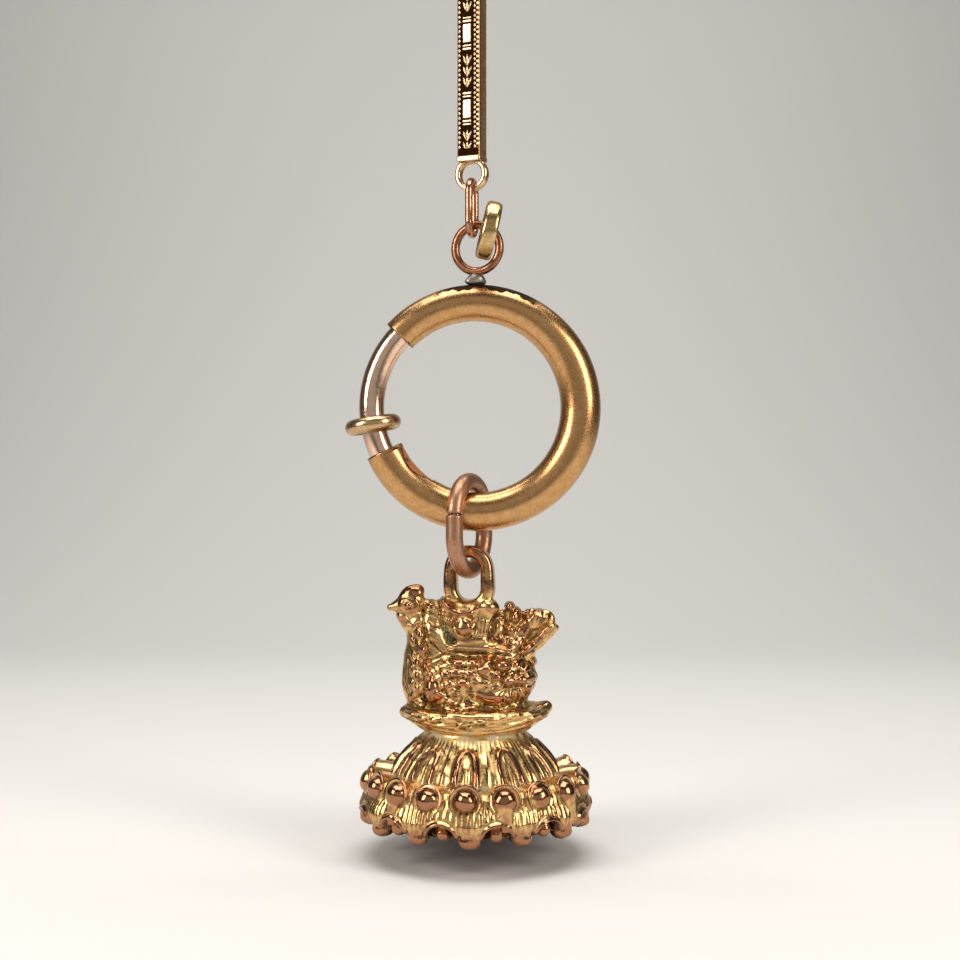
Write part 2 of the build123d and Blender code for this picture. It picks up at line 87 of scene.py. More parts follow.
class Step(Enum):
    """Kinds of step in a material's recipe: node type, inputs, kept output and settings."""

    WEAR = ("Attribute", (), "Fac", {"attribute_name": "wear"})
    GRIME_AND_SHADE = ("Attribute", (), "Fac", {"attribute_name": "grime"})
    DUST_AND_REFLECTION = ("Attribute", (), "Fac", {"attribute_name": "dust_and_reflection"})
    GREEN = ("Attribute", (), "Fac", {"attribute_name": "green"})
    PLACE = ("TexCoord", (), "Object", {})
    NOISE = ("TexNoise", ("Vector", "Scale", "Detail", "Roughness"), 0, {})
    RAMP = ("MapRange", ("Value", "From Min", "From Max"), 0, {"interpolation_type": "SMOOTHSTEP"})
    SUM = ("Math", (0, 1, 2), 0, {"operation": "MULTIPLY_ADD"})
    MIX = ("Mix", (0, 6, 7), 2, {"data_type": "RGBA"})
    BUMP = ("Bump", ("Height", "Distance", "Strength", "Normal"), 0, {})


def linear(code: str) -> tuple[float, ...]:
    """Turn a colour as seen on a screen into scene light.

    Args:
        code: An sRGB colour such as "#c8a15a".

    Returns:
        Linear red, green, blue and an alpha of 1.
    """
    parts = [int(code[i : i + 2], 16) / 255 for i in (1, 3, 5)]
    return *[p / 12.92 if p <= 0.04045 else ((p + 0.055) / 1.055) ** 2.4 for p in parts], 1.0


def add_node(tree: bpy.types.NodeTree, made: dict, label: str, step: Step, *terms: object) -> None:
    """Add a node with its settings and links.

    Args:
        tree: The node tree.
        made: Earlier outputs by label, which takes this one.
        label: What to call this node's output.
        step: The kind of step.
        terms: For each input, the label of an earlier output or a plain value.
    """
    kind, inputs, output, settings = step.value
    node = tree.nodes.new("ShaderNode" + kind)
    for key, value in settings.items():
        setattr(node, key, value)
    for key, term in zip(inputs, terms):
        if isinstance(term, str):
            tree.links.new(made[term], node.inputs[key])
        else:
            node.inputs[key].default_value = term
    made[label] = node.outputs[output]


def new_material(name: str, steps: Sequence[tuple], inputs: dict[str, object]) -> bpy.types.Material:
    """Make a material from its recipe.

    Args:
        name: The material's name.
        steps: The label, kind and terms of each node.
        inputs: For each input of the shader, a node's label or a plain value.

    Returns:
        The material.
    """
    material = bpy.data.materials.new(name)
    material.use_nodes = True
    tree, made = material.node_tree, {}
    shader = tree.nodes["Principled BSDF"]
    for label, step, *terms in steps:
        add_node(tree, made, label, step, *terms)
    for key, value in inputs.items():
        if isinstance(value, str):
            tree.links.new(made[value], shader.inputs[key])
        else:
            shader.inputs[key].default_value = value
    return material


@dataclass(frozen=True)
class WornMetal:
    """A metal that is rubbed on its high points, and dull in its hollows, which are darkened with dirt and
    painted shade.
    """

    name: str
    hollow: str
    high: str
    # Colour of the dirt and painted shade in the hollows, then how strongly it shows
    grime: str
    hollow_rough: float
    high_rough: float
    grime_share: float
    mottle_mm: float
    scratch_depth: float
    scratch_mm: float
    # Colour of a powdery film that isn't metal; on the ring tube it is a painted orange reflection
    dust_and_reflection: str = "#b9b092"
    verdigris: str = "#1f4a35"
    even: float = 0.0
    dent_mm: float = 1.6
    dent_depth: float = 0.02
    grime_rough: float = 0.35
    speckle_rough: float = 0.12
    film_rough: float = 0.4

    def build(self) -> bpy.types.Material:
        """Build the material.

        Returns:
            The material, which reads each point's wear, its dirt and painted shade, its powder film (on the
            ring tube a painted orange reflection) and its verdigris.
        """
        glossier = self.high_rough - self.hollow_rough
        steps = (
            ("wear", Step.WEAR),
            ("grime", Step.GRIME_AND_SHADE),
            ("dust_and_reflection", Step.DUST_AND_REFLECTION),
            ("green", Step.GREEN),
            ("place", Step.PLACE),
            # Noises, by the size of their largest blobs, their octaves and the strength of the finer ones
            ("mottle", Step.NOISE, "place", 1 / (self.mottle_mm * MM), 5.0, 0.62),
            ("fine", Step.NOISE, "place", 1 / (self.mottle_mm / 5 * MM), 3.0, 0.55),
            ("scratch", Step.NOISE, "place", 1 / (self.scratch_mm * MM), 4.0, 0.6),
            ("dents", Step.NOISE, "place", 1 / (self.dent_mm * MM), 2.0, 0.5),
            # Rubbed high points
            ("blotch", Step.RAMP, "mottle", 0.3, 0.75),
            ("worn", Step.SUM, "wear", "blotch", "wear"),
            ("rubbed", Step.RAMP, "worn", 0.35, 1.15),
            ("metal", Step.MIX, "rubbed", linear(self.hollow), linear(self.high)),
            # Dirt and painted shade in the hollows, partly in specks
            ("specks", Step.RAMP, "fine", 0.35, 0.65),
            ("patches", Step.SUM, "specks", 1 - self.even, self.even),
            ("speckle", Step.SUM, "grime", "patches", 0.0),
            ("dirt_and_shade", Step.SUM, "speckle", self.grime_share, 0.0),
            ("with_dirt_and_shade", Step.MIX, "dirt_and_shade", "metal", linear(self.grime)),
            # Films of powder and verdigris, which aren't metal; on the ring tube the powder colour is a
            # painted orange reflection
            ("film_patches", Step.RAMP, "mottle", 0.4, 0.6),
            ("dust_and_reflection_share", Step.SUM, "dust_and_reflection", "film_patches", 0.0),
            ("with_dust_and_reflection", Step.MIX, "dust_and_reflection_share", "with_dirt_and_shade", linear(self.dust_and_reflection)),
            ("moss", Step.RAMP, "fine", 0.4, 0.6),
            ("mossy", Step.SUM, "green", "moss", 0.0),
            ("colour", Step.MIX, "mossy", "with_dust_and_reflection", linear(self.verdigris)),
            ("film", Step.SUM, "dust_and_reflection_share", 1.0, "mossy"),
            ("bare", Step.RAMP, "film", 1.0, 0.0),
            # Gloss
            ("haze", Step.RAMP, "fine", 0.35, 0.75),
            ("gloss", Step.SUM, "rubbed", glossier, self.hollow_rough),
            ("soiled_gloss", Step.SUM, "dirt_and_shade", self.grime_rough, "gloss"),
            ("hazy_gloss", Step.SUM, "haze", self.speckle_rough, "soiled_gloss"),
            ("rough", Step.SUM, "film", self.film_rough, "hazy_gloss"),
            ("dented", Step.BUMP, "dents", self.dent_depth * MM, 1.0),
            ("scratched", Step.BUMP, "scratch", self.scratch_depth * MM, 1.0, "dented"),
        )
        inputs = {"Base Color": "colour", "Metallic": "bare", "Roughness": "rough", "Normal": "scratched"}
        return new_material(self.name, steps, inputs)


# Cast and chased yellow gold: yellow and dull in the hollows, darkened there with dirt and painted shade,
# rubbed coppery and glossy on the high points
SEAL_GOLD = WornMetal(
    "chased_gold", "#e2ba7c", "#a97858", "#24170a", 0.22, 0.12, 1.0, 0.8, 0.005, 0.16, even=0.35
)
# Drawn and bent brass-coloured gold tube: finely scratched, speckled with age, painted shade in its bore, a
# painted shadow along its seam and a painted orange reflection on the strip beside it
RING_GOLD = WornMetal(
    "scratched_gold_tube", "#c4945e", "#d5a877", "#33210f", 0.22, 0.18, 0.85, 0.6, 0.003, 0.14,
    "#a85c2a", even=0.6,
)
# Polished rosy gold rod, sliding in the tube
BOLT_GOLD = WornMetal(
    "polished_rose_rod", "#dfb79c", "#ecccb4", "#7a5a40", 0.15, 0.12, 0.3, 0.9, 0.002, 0.2
)
# Turned collar of greenish brass, worn bright on its rim
COLLAR_GOLD = WornMetal(
    "turned_brass_collar", "#a98656", "#d2b084", "#46371f", 0.28, 0.16, 0.7, 0.5, 0.004, 0.15
)
# Drawn copper-coloured wire, dull from handling
SPLIT_COPPER = WornMetal(
    "dull_copper_wire", "#b08468", "#c89c7e", "#3a241a", 0.34, 0.26, 0.8, 0.7, 0.005, 0.12
)
# Drawn copper-coloured wire, bright where the links rub
LINK_COPPER = WornMetal(
    "rubbed_copper_wire", "#a37152", "#c8967a", "#40281a", 0.26, 0.18, 0.7, 0.6, 0.004, 0.12
)
# Copper wire darkened by the flame that soldered it
EYELET_COPPER = WornMetal(
    "flame_dark_copper", "#84563c", "#b18062", "#301c12", 0.28, 0.20, 0.8, 0.6, 0.004, 0.12
)
# Pale gold strip, rolled and polished
BAND_GOLD = WornMetal(
    "polished_pale_strip", "#b99760", "#dcbf8c", "#4e3f22", 0.22, 0.14, 0.6, 0.7, 0.003, 0.15
)
# Engraved rose gold bar: bright on the cuts that were left standing, brown between them with dirt and painted
# shade
BAR_GOLD = WornMetal(
    "bright_cut_rose_gold", "#b98756", "#f0cfa8", "#2e1a0c", 0.30, 0.14, 1.0, 0.6, 0.002, 0.12, even=0.85
)
# Soft solder, smeared and matt
SOLDER = WornMetal("matt_solder", "#77726a", "#a8a298", "#2c2722", 0.42, 0.34, 0.8, 0.4, 0.02, 0.2)


@dataclass(frozen=True)
class PolishedStone:
    """Agate, ground and polished: dark, and mirror-smooth to the eye."""

    name: str = "polished_agate"
    dark: str = "#2c0f0a"
    light: str = "#6b2a17"
    band_mm: float = 1.8
    rough: float = 0.08
    ior: float = 1.54

    def build(self) -> bpy.types.Material:
        """Build the material.

        Returns:
            The material.
        """
        steps = (
            ("place", Step.PLACE),
            ("bands", Step.NOISE, "place", 1 / (self.band_mm * MM), 3.0, 0.5),
            ("share", Step.RAMP, "bands", 0.35, 0.7),
            ("colour", Step.MIX, "share", linear(self.dark), linear(self.light)),
        )
        inputs = {"Base Color": "colour", "Roughness": self.rough, "IOR": self.ior}
        return new_material(self.name, steps, inputs)


# Meshes


@dataclass
class Skin:
    """A mesh in the making: points, quads, and a value or two for each point."""

    points: Array
    faces: Array
    values: dict[str, Array] = field(default_factory=dict)
    normals: Array | None = None

    def placed(self, axes: Array, origin: Sequence[float]) -> "Skin":
        """Turn and move the mesh.

        Args:
            axes: A matrix whose columns are the new axes.
            origin: Where the old origin goes.

        Returns:
            The moved mesh.
        """
        normals = None if self.normals is None else self.normals @ axes.T
        return Skin(self.points @ axes.T + np.asarray(origin, float), self.faces, self.values, normals)

    def part(self, kept: Array) -> "Skin":
        """Cut the mesh down to some of its faces.

        Args:
            kept: For each face, whether it stays.

        Returns:
            A mesh of those faces alone.
        """
        faces = self.faces[kept]
        used, renumbered = np.unique(faces, return_inverse=True)
        values = {k: v[used] for k, v in self.values.items()}
        return Skin(self.points[used], renumbered.reshape(faces.shape), values, self.normals[used])

    def centres(self) -> Array:
        """Return the middle of each face."""
        return self.points[self.faces].mean(1)

    def joined(self, other: "Skin") -> "Skin":
        """Join another mesh to this one.

        Args:
            other: The other mesh, with the same values.

        Returns:
            One mesh of both.
        """
        values = {k: np.concatenate([self.values[k], other.values[k]]) for k in self.values}
        faces = np.concatenate([self.faces, other.faces + len(self.points)])
        normals = np.concatenate([self.normals, other.normals])
        return Skin(np.concatenate([self.points, other.points]), faces, values, normals)

    def filled(self, **levels: float) -> "Skin":
        """Give every point the same values.

        Args:
            levels: How rubbed ("wear") the surface is, and how dark with dirt and painted shade, from 0 to 1.

        Returns:
            The same mesh.
        """
        for name, level in levels.items():
            self.values[name] = np.full(len(self.points), level, np.float32)
        return self

    def to_object(self, name: str, material: bpy.types.Material, body: Body) -> bpy.types.Object:
        """Make the Blender object, riding on its body.

        Args:
            name: The object's name.
            material: Its finish.
            body: The body that it moves with.

        Returns:
            The new object.
        """
        mesh = bpy.data.meshes.new(name)
        count, corners = self.faces.shape
        mesh.vertices.add(len(self.points))
        mesh.vertices.foreach_set("co", (self.points * MM).astype(np.float32).ravel())
        mesh.loops.add(count * corners)
        mesh.loops.foreach_set("vertex_index", self.faces.astype(np.int32).ravel())
        mesh.polygons.add(count)
        mesh.polygons.foreach_set("loop_start", np.arange(0, count * corners, corners, dtype=np.int32))
        mesh.polygons.foreach_set("use_smooth", np.ones(count, bool))
        mesh.update(calc_edges=True)
        mesh.validate()
        for key, values in self.values.items():
            layer = mesh.attributes.new(key, "FLOAT", "POINT")
            layer.data.foreach_set("value", values.astype(np.float32))
        if self.normals is not None:
            mesh.normals_split_custom_set_from_vertices(self.normals)
        mesh.materials.append(material)
        made = bpy.data.objects.new(name, mesh)
        bpy.context.scene.collection.objects.link(made)
        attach(made, body.value)
        LOG.info("%s: %d points, %d triangles", name, len(self.points), 2 * count)
        return made


def grid_faces(rows: int, columns: int, wrap_rows: bool = False, wrap_columns: bool = True) -> Array:
    """List the quads of a grid of points.

    Args:
        rows: Rows of points.
        columns: Points in each row.
        wrap_rows: Whether the last row meets the first.
        wrap_columns: Whether each row is a closed loop.

    Returns:
        The quads as rows of four indices.
    """
    row = np.arange(rows if wrap_rows else rows - 1)[:, None]
    column = np.arange(columns if wrap_columns else columns - 1)[None, :]
    here, after, beside = row * columns, (row + 1) % rows * columns, (column + 1) % columns
    corners = [here + column, here + beside, after + beside, after + column]
    return np.stack(np.broadcast_arrays(*corners), -1).reshape(-1, 4)


def swept(path: Array, outward: Array, upward: Array, profile: Array, closed: bool) -> Skin:
    """Sweep a closed profile along a path.

    Args:
        path: The path's points.
        outward: The profile's first axis at each point.
        upward: The profile's second axis at each point.
        profile: For each point of the path, the profile's points in those axes.
        closed: Whether the path closes on itself.

    Returns:
        The swept mesh, with its ends open unless the path is closed.
    """
    points = path[:, None, :] + outward[:, None, :] * profile[..., :1] + upward[:, None, :] * profile[..., 1:]
    return Skin(points.reshape(-1, 3), grid_faces(len(path), profile.shape[1], closed))


def turned(line: Array, centre: Array, axes: Sequence[Array], count: int, closed: bool = True) -> Skin:
    """Turn a profile about an axis.

    Args:
        line: The profile's points, by distance from the axis and place along it.
        centre: The place where the axis begins.
        axes: The two directions across the axis and the one along it.
        count: How many steps the turn has.
        closed: Whether the profile closes on itself.

    Returns:
        The turned mesh.
    """
    turn = np.linspace(0, 2 * np.pi, count, endpoint=False)[:, None]
    spoke = axes[0] * np.cos(turn) + axes[1] * np.sin(turn)
    points = np.asarray(centre) + spoke[:, None, :] * line[None, :, :1] + axes[2] * line[None, :, 1:]
    return Skin(points.reshape(-1, 3), grid_faces(count, len(line), True, closed))


def circle(count: int) -> Array:
    """Return evenly spaced points on a circle of radius 1."""
    turn = np.linspace(0, 2 * np.pi, count, endpoint=False)
    return np.stack([np.cos(turn), np.sin(turn)], -1)


def facing(yaw: float) -> Array:
    """Find the axes of an upright plane that faces -Y and is turned about the vertical.

    Args:
        yaw: The turn.

    Returns:
        A matrix with its columns to the right, up and towards the viewer.
    """
    side = np.radians(yaw)
    right = (np.cos(side), np.sin(side), 0)
    near = (np.sin(side), -np.cos(side), 0)
    return np.array([right, (0, 0, 1), near]).T


# Solid modelling on a grid of distances


def smooth_low(first: Array, second: Array, blend: float) -> Array:
    """Take the lower of two distances, with the crease rounded.

    Args:
        first: The first distances.
        second: The second distances.
        blend: How wide the rounding is.

    Returns:
        The blended distances.
    """
    share = np.clip(0.5 + 0.5 * (second - first) / blend, 0, 1)
    return second + (first - second) * share - blend * share * (1 - share)


def smooth_cut(value: Array, hollow: Array, blend: float) -> Array:
    """Cut a hollow out of a solid, with its edge rounded as wide as the blend."""
    return -smooth_low(-value, hollow, blend)


def ridge(gap: Array, width: float, power: int = 2) -> Array:
    """Fall from 1 to 0 on both sides of a line.

    Args:
        gap: How far away the line is.
        width: Where the fall is steepest, about.
        power: How flat the top is.

    Returns:
        The shares.
    """
    return np.exp(-((gap / width) ** power))


def fade(value: Array, start: float, width: float) -> Array:
    """Rise evenly from 0 to 1.

    Args:
        value: What it depends on.
        start: Where it is 0.
        width: How much further on it is 1, below 0 to fall towards higher values.

    Returns:
        The shares.
    """
    return np.clip((value - start) / width, 0, 1)


class Clay:
    """A solid kept as signed distances on a regular grid."""

    far = 1.5
    waves = 7
    wave_spread = 1.7
    wave_sum = 2.6
    fine_blur = 4
    wide_blur = 22
    marked_step = 0.1
    plain_wear = 0.34
    wear_by = (2.6, 2.2, 1.6)
    # How much sinking darkens a point with dirt and painted shade, at the fine, wide and drawn scales
    grime_by = (9.0, 4.0, 3.5)

    def __init__(self, low: Sequence[float], high: Sequence[float], step: float) -> None:
        """Start with empty space.

        Args:
            low: The grid's lowest corner.
            high: The grid's highest corner.
            step: The spacing of its points.
        """
        self.low, self.step = np.asarray(low, float), step
        self.axes = [np.arange(a, b + step, step, dtype=np.float32) for a, b in zip(low, high)]
        self.value = np.full([len(a) for a in self.axes], self.far, np.float32)
        self.drawn: Array | None = None

    def add(self, shape: "Shape", blend: float, twin: bool = False) -> None:
        """Add a shape.

        Args:
            shape: What to add.
            blend: How wide the joint's fillet is.
            twin: Whether it stands on the back as well as on the front.
        """
        margin = blend + 0.6
        low, high = shape.box()
        low, high = np.asarray(low) - margin, np.asarray(high) + margin
        if twin:
            high[1] = max(abs(low[1]), abs(high[1]))
            low[1] = -high[1]
        cut = tuple(
            slice(max(int(np.searchsorted(axis, a)) - 1, 0), int(np.searchsorted(axis, b)) + 1)
            for axis, a, b in zip(self.axes, low, high)
        )
        x, y, z = np.meshgrid(*[axis[c] for axis, c in zip(self.axes, cut)], indexing="ij", sparse=True)
        there = shape.distance(x, -np.abs(y) if twin else y, z)
        self.value[cut] = smooth_low(self.value[cut], there.astype(np.float32), blend)

    def uneven(self, size: float, depth: float, seed: int) -> None:
        """Give the surface the slow waviness of hand work.

        Args:
            size: The length of the waves.
            depth: How far they rise.
            seed: Picks the pattern.
        """
        rng = np.random.default_rng(seed)
        x, y, z = np.meshgrid(*self.axes, indexing="ij", sparse=True)
        waves = rng.normal(size=(self.waves, 3)) * 2 * np.pi / (size * self.wave_spread)
        starts = rng.uniform(0, 2 * np.pi, self.waves)
        for (a, b, c), start in zip(waves, starts):
            wave = np.sin(a * x + b * y + c * z + start).astype(np.float32)
            self.value += np.float32(depth / self.wave_sum) * wave

    def blurred(self, times: int) -> Array:
        """Blur the distances a little.

        Args:
            times: The number of passes.

        Returns:
            The blurred distances.
        """
        value = np.clip(self.value, -self.far, self.far)
        for _ in range(times):
            for axis in range(3):
                value = (np.roll(value, 1, axis) + np.roll(value, -1, axis) + 2 * value) * np.float32(0.25)
        return value

    def sample(self, value: Array, points: Array) -> Array:
        """Read a grid's values between its points.

        Args:
            value: The grid.
            points: Where to read it.

        Returns:
            One value for each point.
        """
        place = np.clip((points - self.low) / self.step, 0, np.array(value.shape) - 1.001)
        base = place.astype(int)
        part = place - base
        total = np.zeros(len(points))
        for corner in np.ndindex(2, 2, 2):
            share = np.prod(np.where(np.array(corner), part, 1 - part), axis=1)
            index = base + corner
            total += share * value[index[:, 0], index[:, 1], index[:, 2]]
        return total

    def slope(self, value: Array, points: Array) -> Array:
        """Find the direction in which a grid of distances grows.

        Args:
            value: The grid.
            points: Where to read it.

        Returns:
            One unit vector for each point.
        """
        steps = np.eye(3) * self.step
        grown = [self.sample(value, points + s) - self.sample(value, points - s) for s in steps]
        slope = np.stack(grown, -1)
        return slope / np.maximum(np.linalg.norm(slope, axis=1, keepdims=True), 1e-6)

    def surface(self) -> tuple[Array, Array]:
        """Find the points and quads of the surface, one point to each cell that it passes through.

        Returns:
            The points and the quads.
        """
        value, inside = self.value, self.value < 0
        size = np.array(value.shape) - 1
        blocks = [tuple(slice(c, c + s) for c, s in zip(corner, size)) for corner in np.ndindex(2, 2, 2)]
        window = [inside[block] for block in blocks]
        cut = np.any(window, axis=0) & ~np.all(window, axis=0)
        cells = np.argwhere(cut)
        index = np.full(cut.shape, -1, np.int64)
        index[cut] = np.arange(len(cells))
        total, count = np.zeros((len(cells), 3)), np.zeros(len(cells))
        faces = []
        for axis, along in enumerate(np.eye(3, dtype=int)):
            for corner in np.ndindex(2, 2, 2):
                if corner[axis]:
                    continue
                first = value[tuple((cells + corner).T)]
                second = value[tuple((cells + corner + along).T)]
                crossed = (first < 0) != (second < 0)
                share = np.where(crossed, first / np.where(crossed, first - second, 1), 0)
                total += np.where(crossed[:, None], corner + along * share[:, None], 0)
                count += crossed
            head = tuple(slice(0, -1) if a else slice(1, -1) for a in along)
            tail = tuple(slice(1, None) if a else slice(1, -1) for a in along)
            crossed = inside[head] != inside[tail]
            flip = inside[head][crossed] != (axis == 1)
            spots = np.argwhere(crossed) + 1 - along
            one, two = [a for a in np.eye(3, dtype=int) if a @ along == 0]
            around = (spots - one - two, spots - two, spots, spots - one)
            quad = np.stack([index[tuple(cell.T)] for cell in around], -1)
            faces.append(np.where(flip[:, None], quad, quad[:, ::-1]))
        return (cells + total / count[:, None]) * self.step + self.low, np.concatenate(faces)

    def skin(self) -> Skin:
        """Turn the solid into a mesh.

        Returns:
            The mesh, with how rubbed each point is and how much dirt and painted shade its hollows take, both
            worked out from how far each point stands proud.
        """
        points, faces = self.surface()
        points -= self.sample(self.value, points)[:, None] * self.slope(self.value, points)
        skin = Skin(points, faces, normals=self.slope(self.blurred(1), points))
        proud = [self.sample(self.blurred(times), points) for times in (self.fine_blur, self.wide_blur)]
        proud = [p * self.marked_step / self.step for p in proud] + [np.zeros(len(points))]
        if self.drawn is not None:
            cell = np.round((points - self.low) / self.step).astype(int)
            proud[2] = self.drawn[cell[:, 0], cell[:, 2]]
        skin.values["wear"] = np.clip(self.plain_wear + sum(w * p for w, p in zip(self.wear_by, proud)), 0, 1)
        # Dirt and painted shade: the more a point is sunk, the darker it is painted
        skin.values["grime"] = np.clip(-sum(g * p for g, p in zip(self.grime_by, proud)), 0, 1)
        return skin


class Shape:
    """A solid that knows a box that holds it, and its signed distance from any point, below 0 inside."""

    def box(self) -> tuple[Sequence[float], Sequence[float]]:
        """Return the lowest and highest corner that hold the shape."""
        raise NotImplementedError

    def distance(self, x: Array, y: Array, z: Array) -> Array:
        """Return the signed distance at each place to the right, to the back and up."""
        raise NotImplementedError


def rounded(first: Array, second: Array, radius: float) -> Array:
    """Meet two faces in a rounded edge.

    Args:
        first: The distances from the first face, drawn in by the radius.
        second: The same from the second face.
        radius: The edge's radius.

    Returns:
        The distances from the rounded solid.
    """
    out = np.hypot(np.maximum(first, 0), np.maximum(second, 0))
    return out + np.minimum(np.maximum(first, second), 0) - radius


@dataclass(frozen=True)
class Egg(Shape):
    """An ellipsoid, tilted in the front view."""

    at: Point
    half: Point
    tilt: float = 0.0

    def box(self) -> tuple[Array, Array]:
        """Return the lowest and highest corner that hold the shape.

        Returns:
            The lowest corner and the highest corner.
        """
        turn = np.radians(self.tilt)
        across = np.hypot(self.half[0] * np.cos(turn), self.half[2] * np.sin(turn))
        tall = np.hypot(self.half[0] * np.sin(turn), self.half[2] * np.cos(turn))
        reach = np.array([across, self.half[1], tall])
        return np.array(self.at) - reach, np.array(self.at) + reach

    def distance(self, x: Array, y: Array, z: Array) -> Array:
        """Return the signed distance at each point, nearly.

        Args:
            x: The points' places to the right, in millimetres.
            y: Their places to the back.
            z: Their heights.

        Returns:
            The distances, negative inside the shape.
        """
        turn = np.radians(self.tilt)
        right, up = x - self.at[0], z - self.at[2]
        a = (right * np.cos(turn) + up * np.sin(turn)) / self.half[0]
        b = (y - self.at[1]) / self.half[1]
        c = (up * np.cos(turn) - right * np.sin(turn)) / self.half[2]
        level = np.sqrt(a * a + b * b + c * c)
        slope = np.sqrt((a / self.half[0]) ** 2 + (b / self.half[1]) ** 2 + (c / self.half[2]) ** 2)
        return level * (level - 1) / np.maximum(slope, 1e-4)


@dataclass(frozen=True)
class Rod(Shape):
    """A rod with round ends, from one radius to another."""

    start: Point
    end: Point
    first: float
    last: float
    flat: float = 1.0

    def box(self) -> tuple[Array, Array]:
        """Return the lowest and highest corner that hold the shape.

        Returns:
            The lowest corner and the highest corner.
        """
        ends = np.array([self.start, self.end])
        reach = max(self.first, self.last) * np.array([1, max(self.flat, 1), 1])
        return ends.min(0) - reach, ends.max(0) + reach

    def distance(self, x: Array, y: Array, z: Array) -> Array:
        """Return the signed distance at each point, nearly.

        Args:
            x: The points' places to the right, in millimetres.
            y: Their places to the back.
            z: Their heights.

        Returns:
            The distances, negative inside the shape.
        """
        run = np.subtract(self.end, self.start)
        dx, dy, dz = x - self.start[0], (y - self.start[1]) / self.flat, z - self.start[2]
        share = np.clip((dx * run[0] + dy * run[1] + dz * run[2]) / (run @ run), 0, 1)
        gap = np.sqrt((dx - run[0] * share) ** 2 + (dy - run[1] * share) ** 2 + (dz - run[2] * share) ** 2)
        return gap - (self.first + (self.last - self.first) * share)


@dataclass(frozen=True)
class Block(Shape):
    """A box with rounded edges that narrows upwards, less so in depth."""

    at: Point
    half: Point
    round: float
    narrowing: float = 0.0
    less: float = 0.6

    def box(self) -> tuple[Array, Array]:
        """Return the lowest and highest corner that hold the shape."""
        return np.subtract(self.at, self.half), np.add(self.at, self.half)

    def distance(self, x: Array, y: Array, z: Array) -> Array:
        """Return the signed distance at each point.

        Args:
            x: The points' places to the right, in millimetres.
            y: Their places to the back.
            z: Their heights.

        Returns:
            The distances, negative inside the shape.
        """
        slim = self.narrowing * (z - self.at[2]) / self.half[2]
        qx = np.abs(x - self.at[0]) - self.half[0] + self.round + slim
        qy = np.abs(y - self.at[1]) - self.half[1] + self.round + slim * self.less
        qz = np.abs(z - self.at[2]) - self.half[2] + self.round
        out = np.sqrt(np.maximum(qx, 0) ** 2 + np.maximum(qy, 0) ** 2 + np.maximum(qz, 0) ** 2)
        return out + np.minimum(np.maximum(np.maximum(qx, qy), qz), 0) - self.round


@dataclass(frozen=True)
class Loop(Shape):
    """A flat, rounded loop whose hole is a slot."""

    at: Point
    yaw: float
    hole: float
    straight: float
    wire: float
    band: float
    round: float

    def box(self) -> tuple[Array, Array]:
        """Return the lowest and highest corner that hold the shape."""
        reach = self.hole / 2 + self.wire
        return np.subtract(self.at, (reach, reach, reach + self.straight)), np.add(self.at, reach)

    def distance(self, x: Array, y: Array, z: Array) -> Array:
        """Return the signed distance at each point.

        Args:
            x: The points' places to the right, in millimetres.
            y: Their places to the back.
            z: Their heights.

        Returns:
            The distances, negative inside the shape.
        """
        side = np.radians(self.yaw)
        right = (x - self.at[0]) * np.cos(side) + (y - self.at[1]) * np.sin(side)
        near = (x - self.at[0]) * np.sin(side) - (y - self.at[1]) * np.cos(side)
        up = z - self.at[2]
        up = up - np.clip(up, -self.straight, 0)
        ring = np.abs(np.hypot(right, up) - (self.hole + self.wire) / 2) - self.wire / 2 + self.round
        return rounded(ring, np.abs(near) - self.band / 2 + self.round, self.round)


@dataclass(frozen=True)
class Bowl(Shape):
    """A shallow oval bowl that widens upwards, full over its top part."""

    bottom: float
    top: float
    low_half: tuple[float, float]
    high_half: tuple[float, float]
    full: float = 0.7
    swell: float = 0.8
    edge: float = 0.35

    def box(self) -> tuple[Sequence[float], Sequence[float]]:
        """Return the lowest and highest corner that hold the shape."""
        long, wide = self.high_half
        return (-long, -wide, self.bottom), (long, wide, self.top)

    def distance(self, x: Array, y: Array, z: Array) -> Array:
        """Return the signed distance at each point, nearly.

        Args:
            x: The points' places to the right, in millimetres.
            y: Their places to the back.
            z: Their heights.

        Returns:
            The distances, negative inside the shape.
        """
        share = fade(z, self.bottom, self.top - self.bottom)
        bulge = np.clip(share / self.full, 0, 1) ** self.swell
        long, wide = [a + (b - a) * bulge for a, b in zip(self.low_half, self.high_half)]
        side = (np.hypot(x / long, y / wide) - 1) * wide
        flat = np.maximum(self.bottom - z, z - self.top) + 0.0 * side
        return rounded(side + self.edge, flat + self.edge, self.edge)


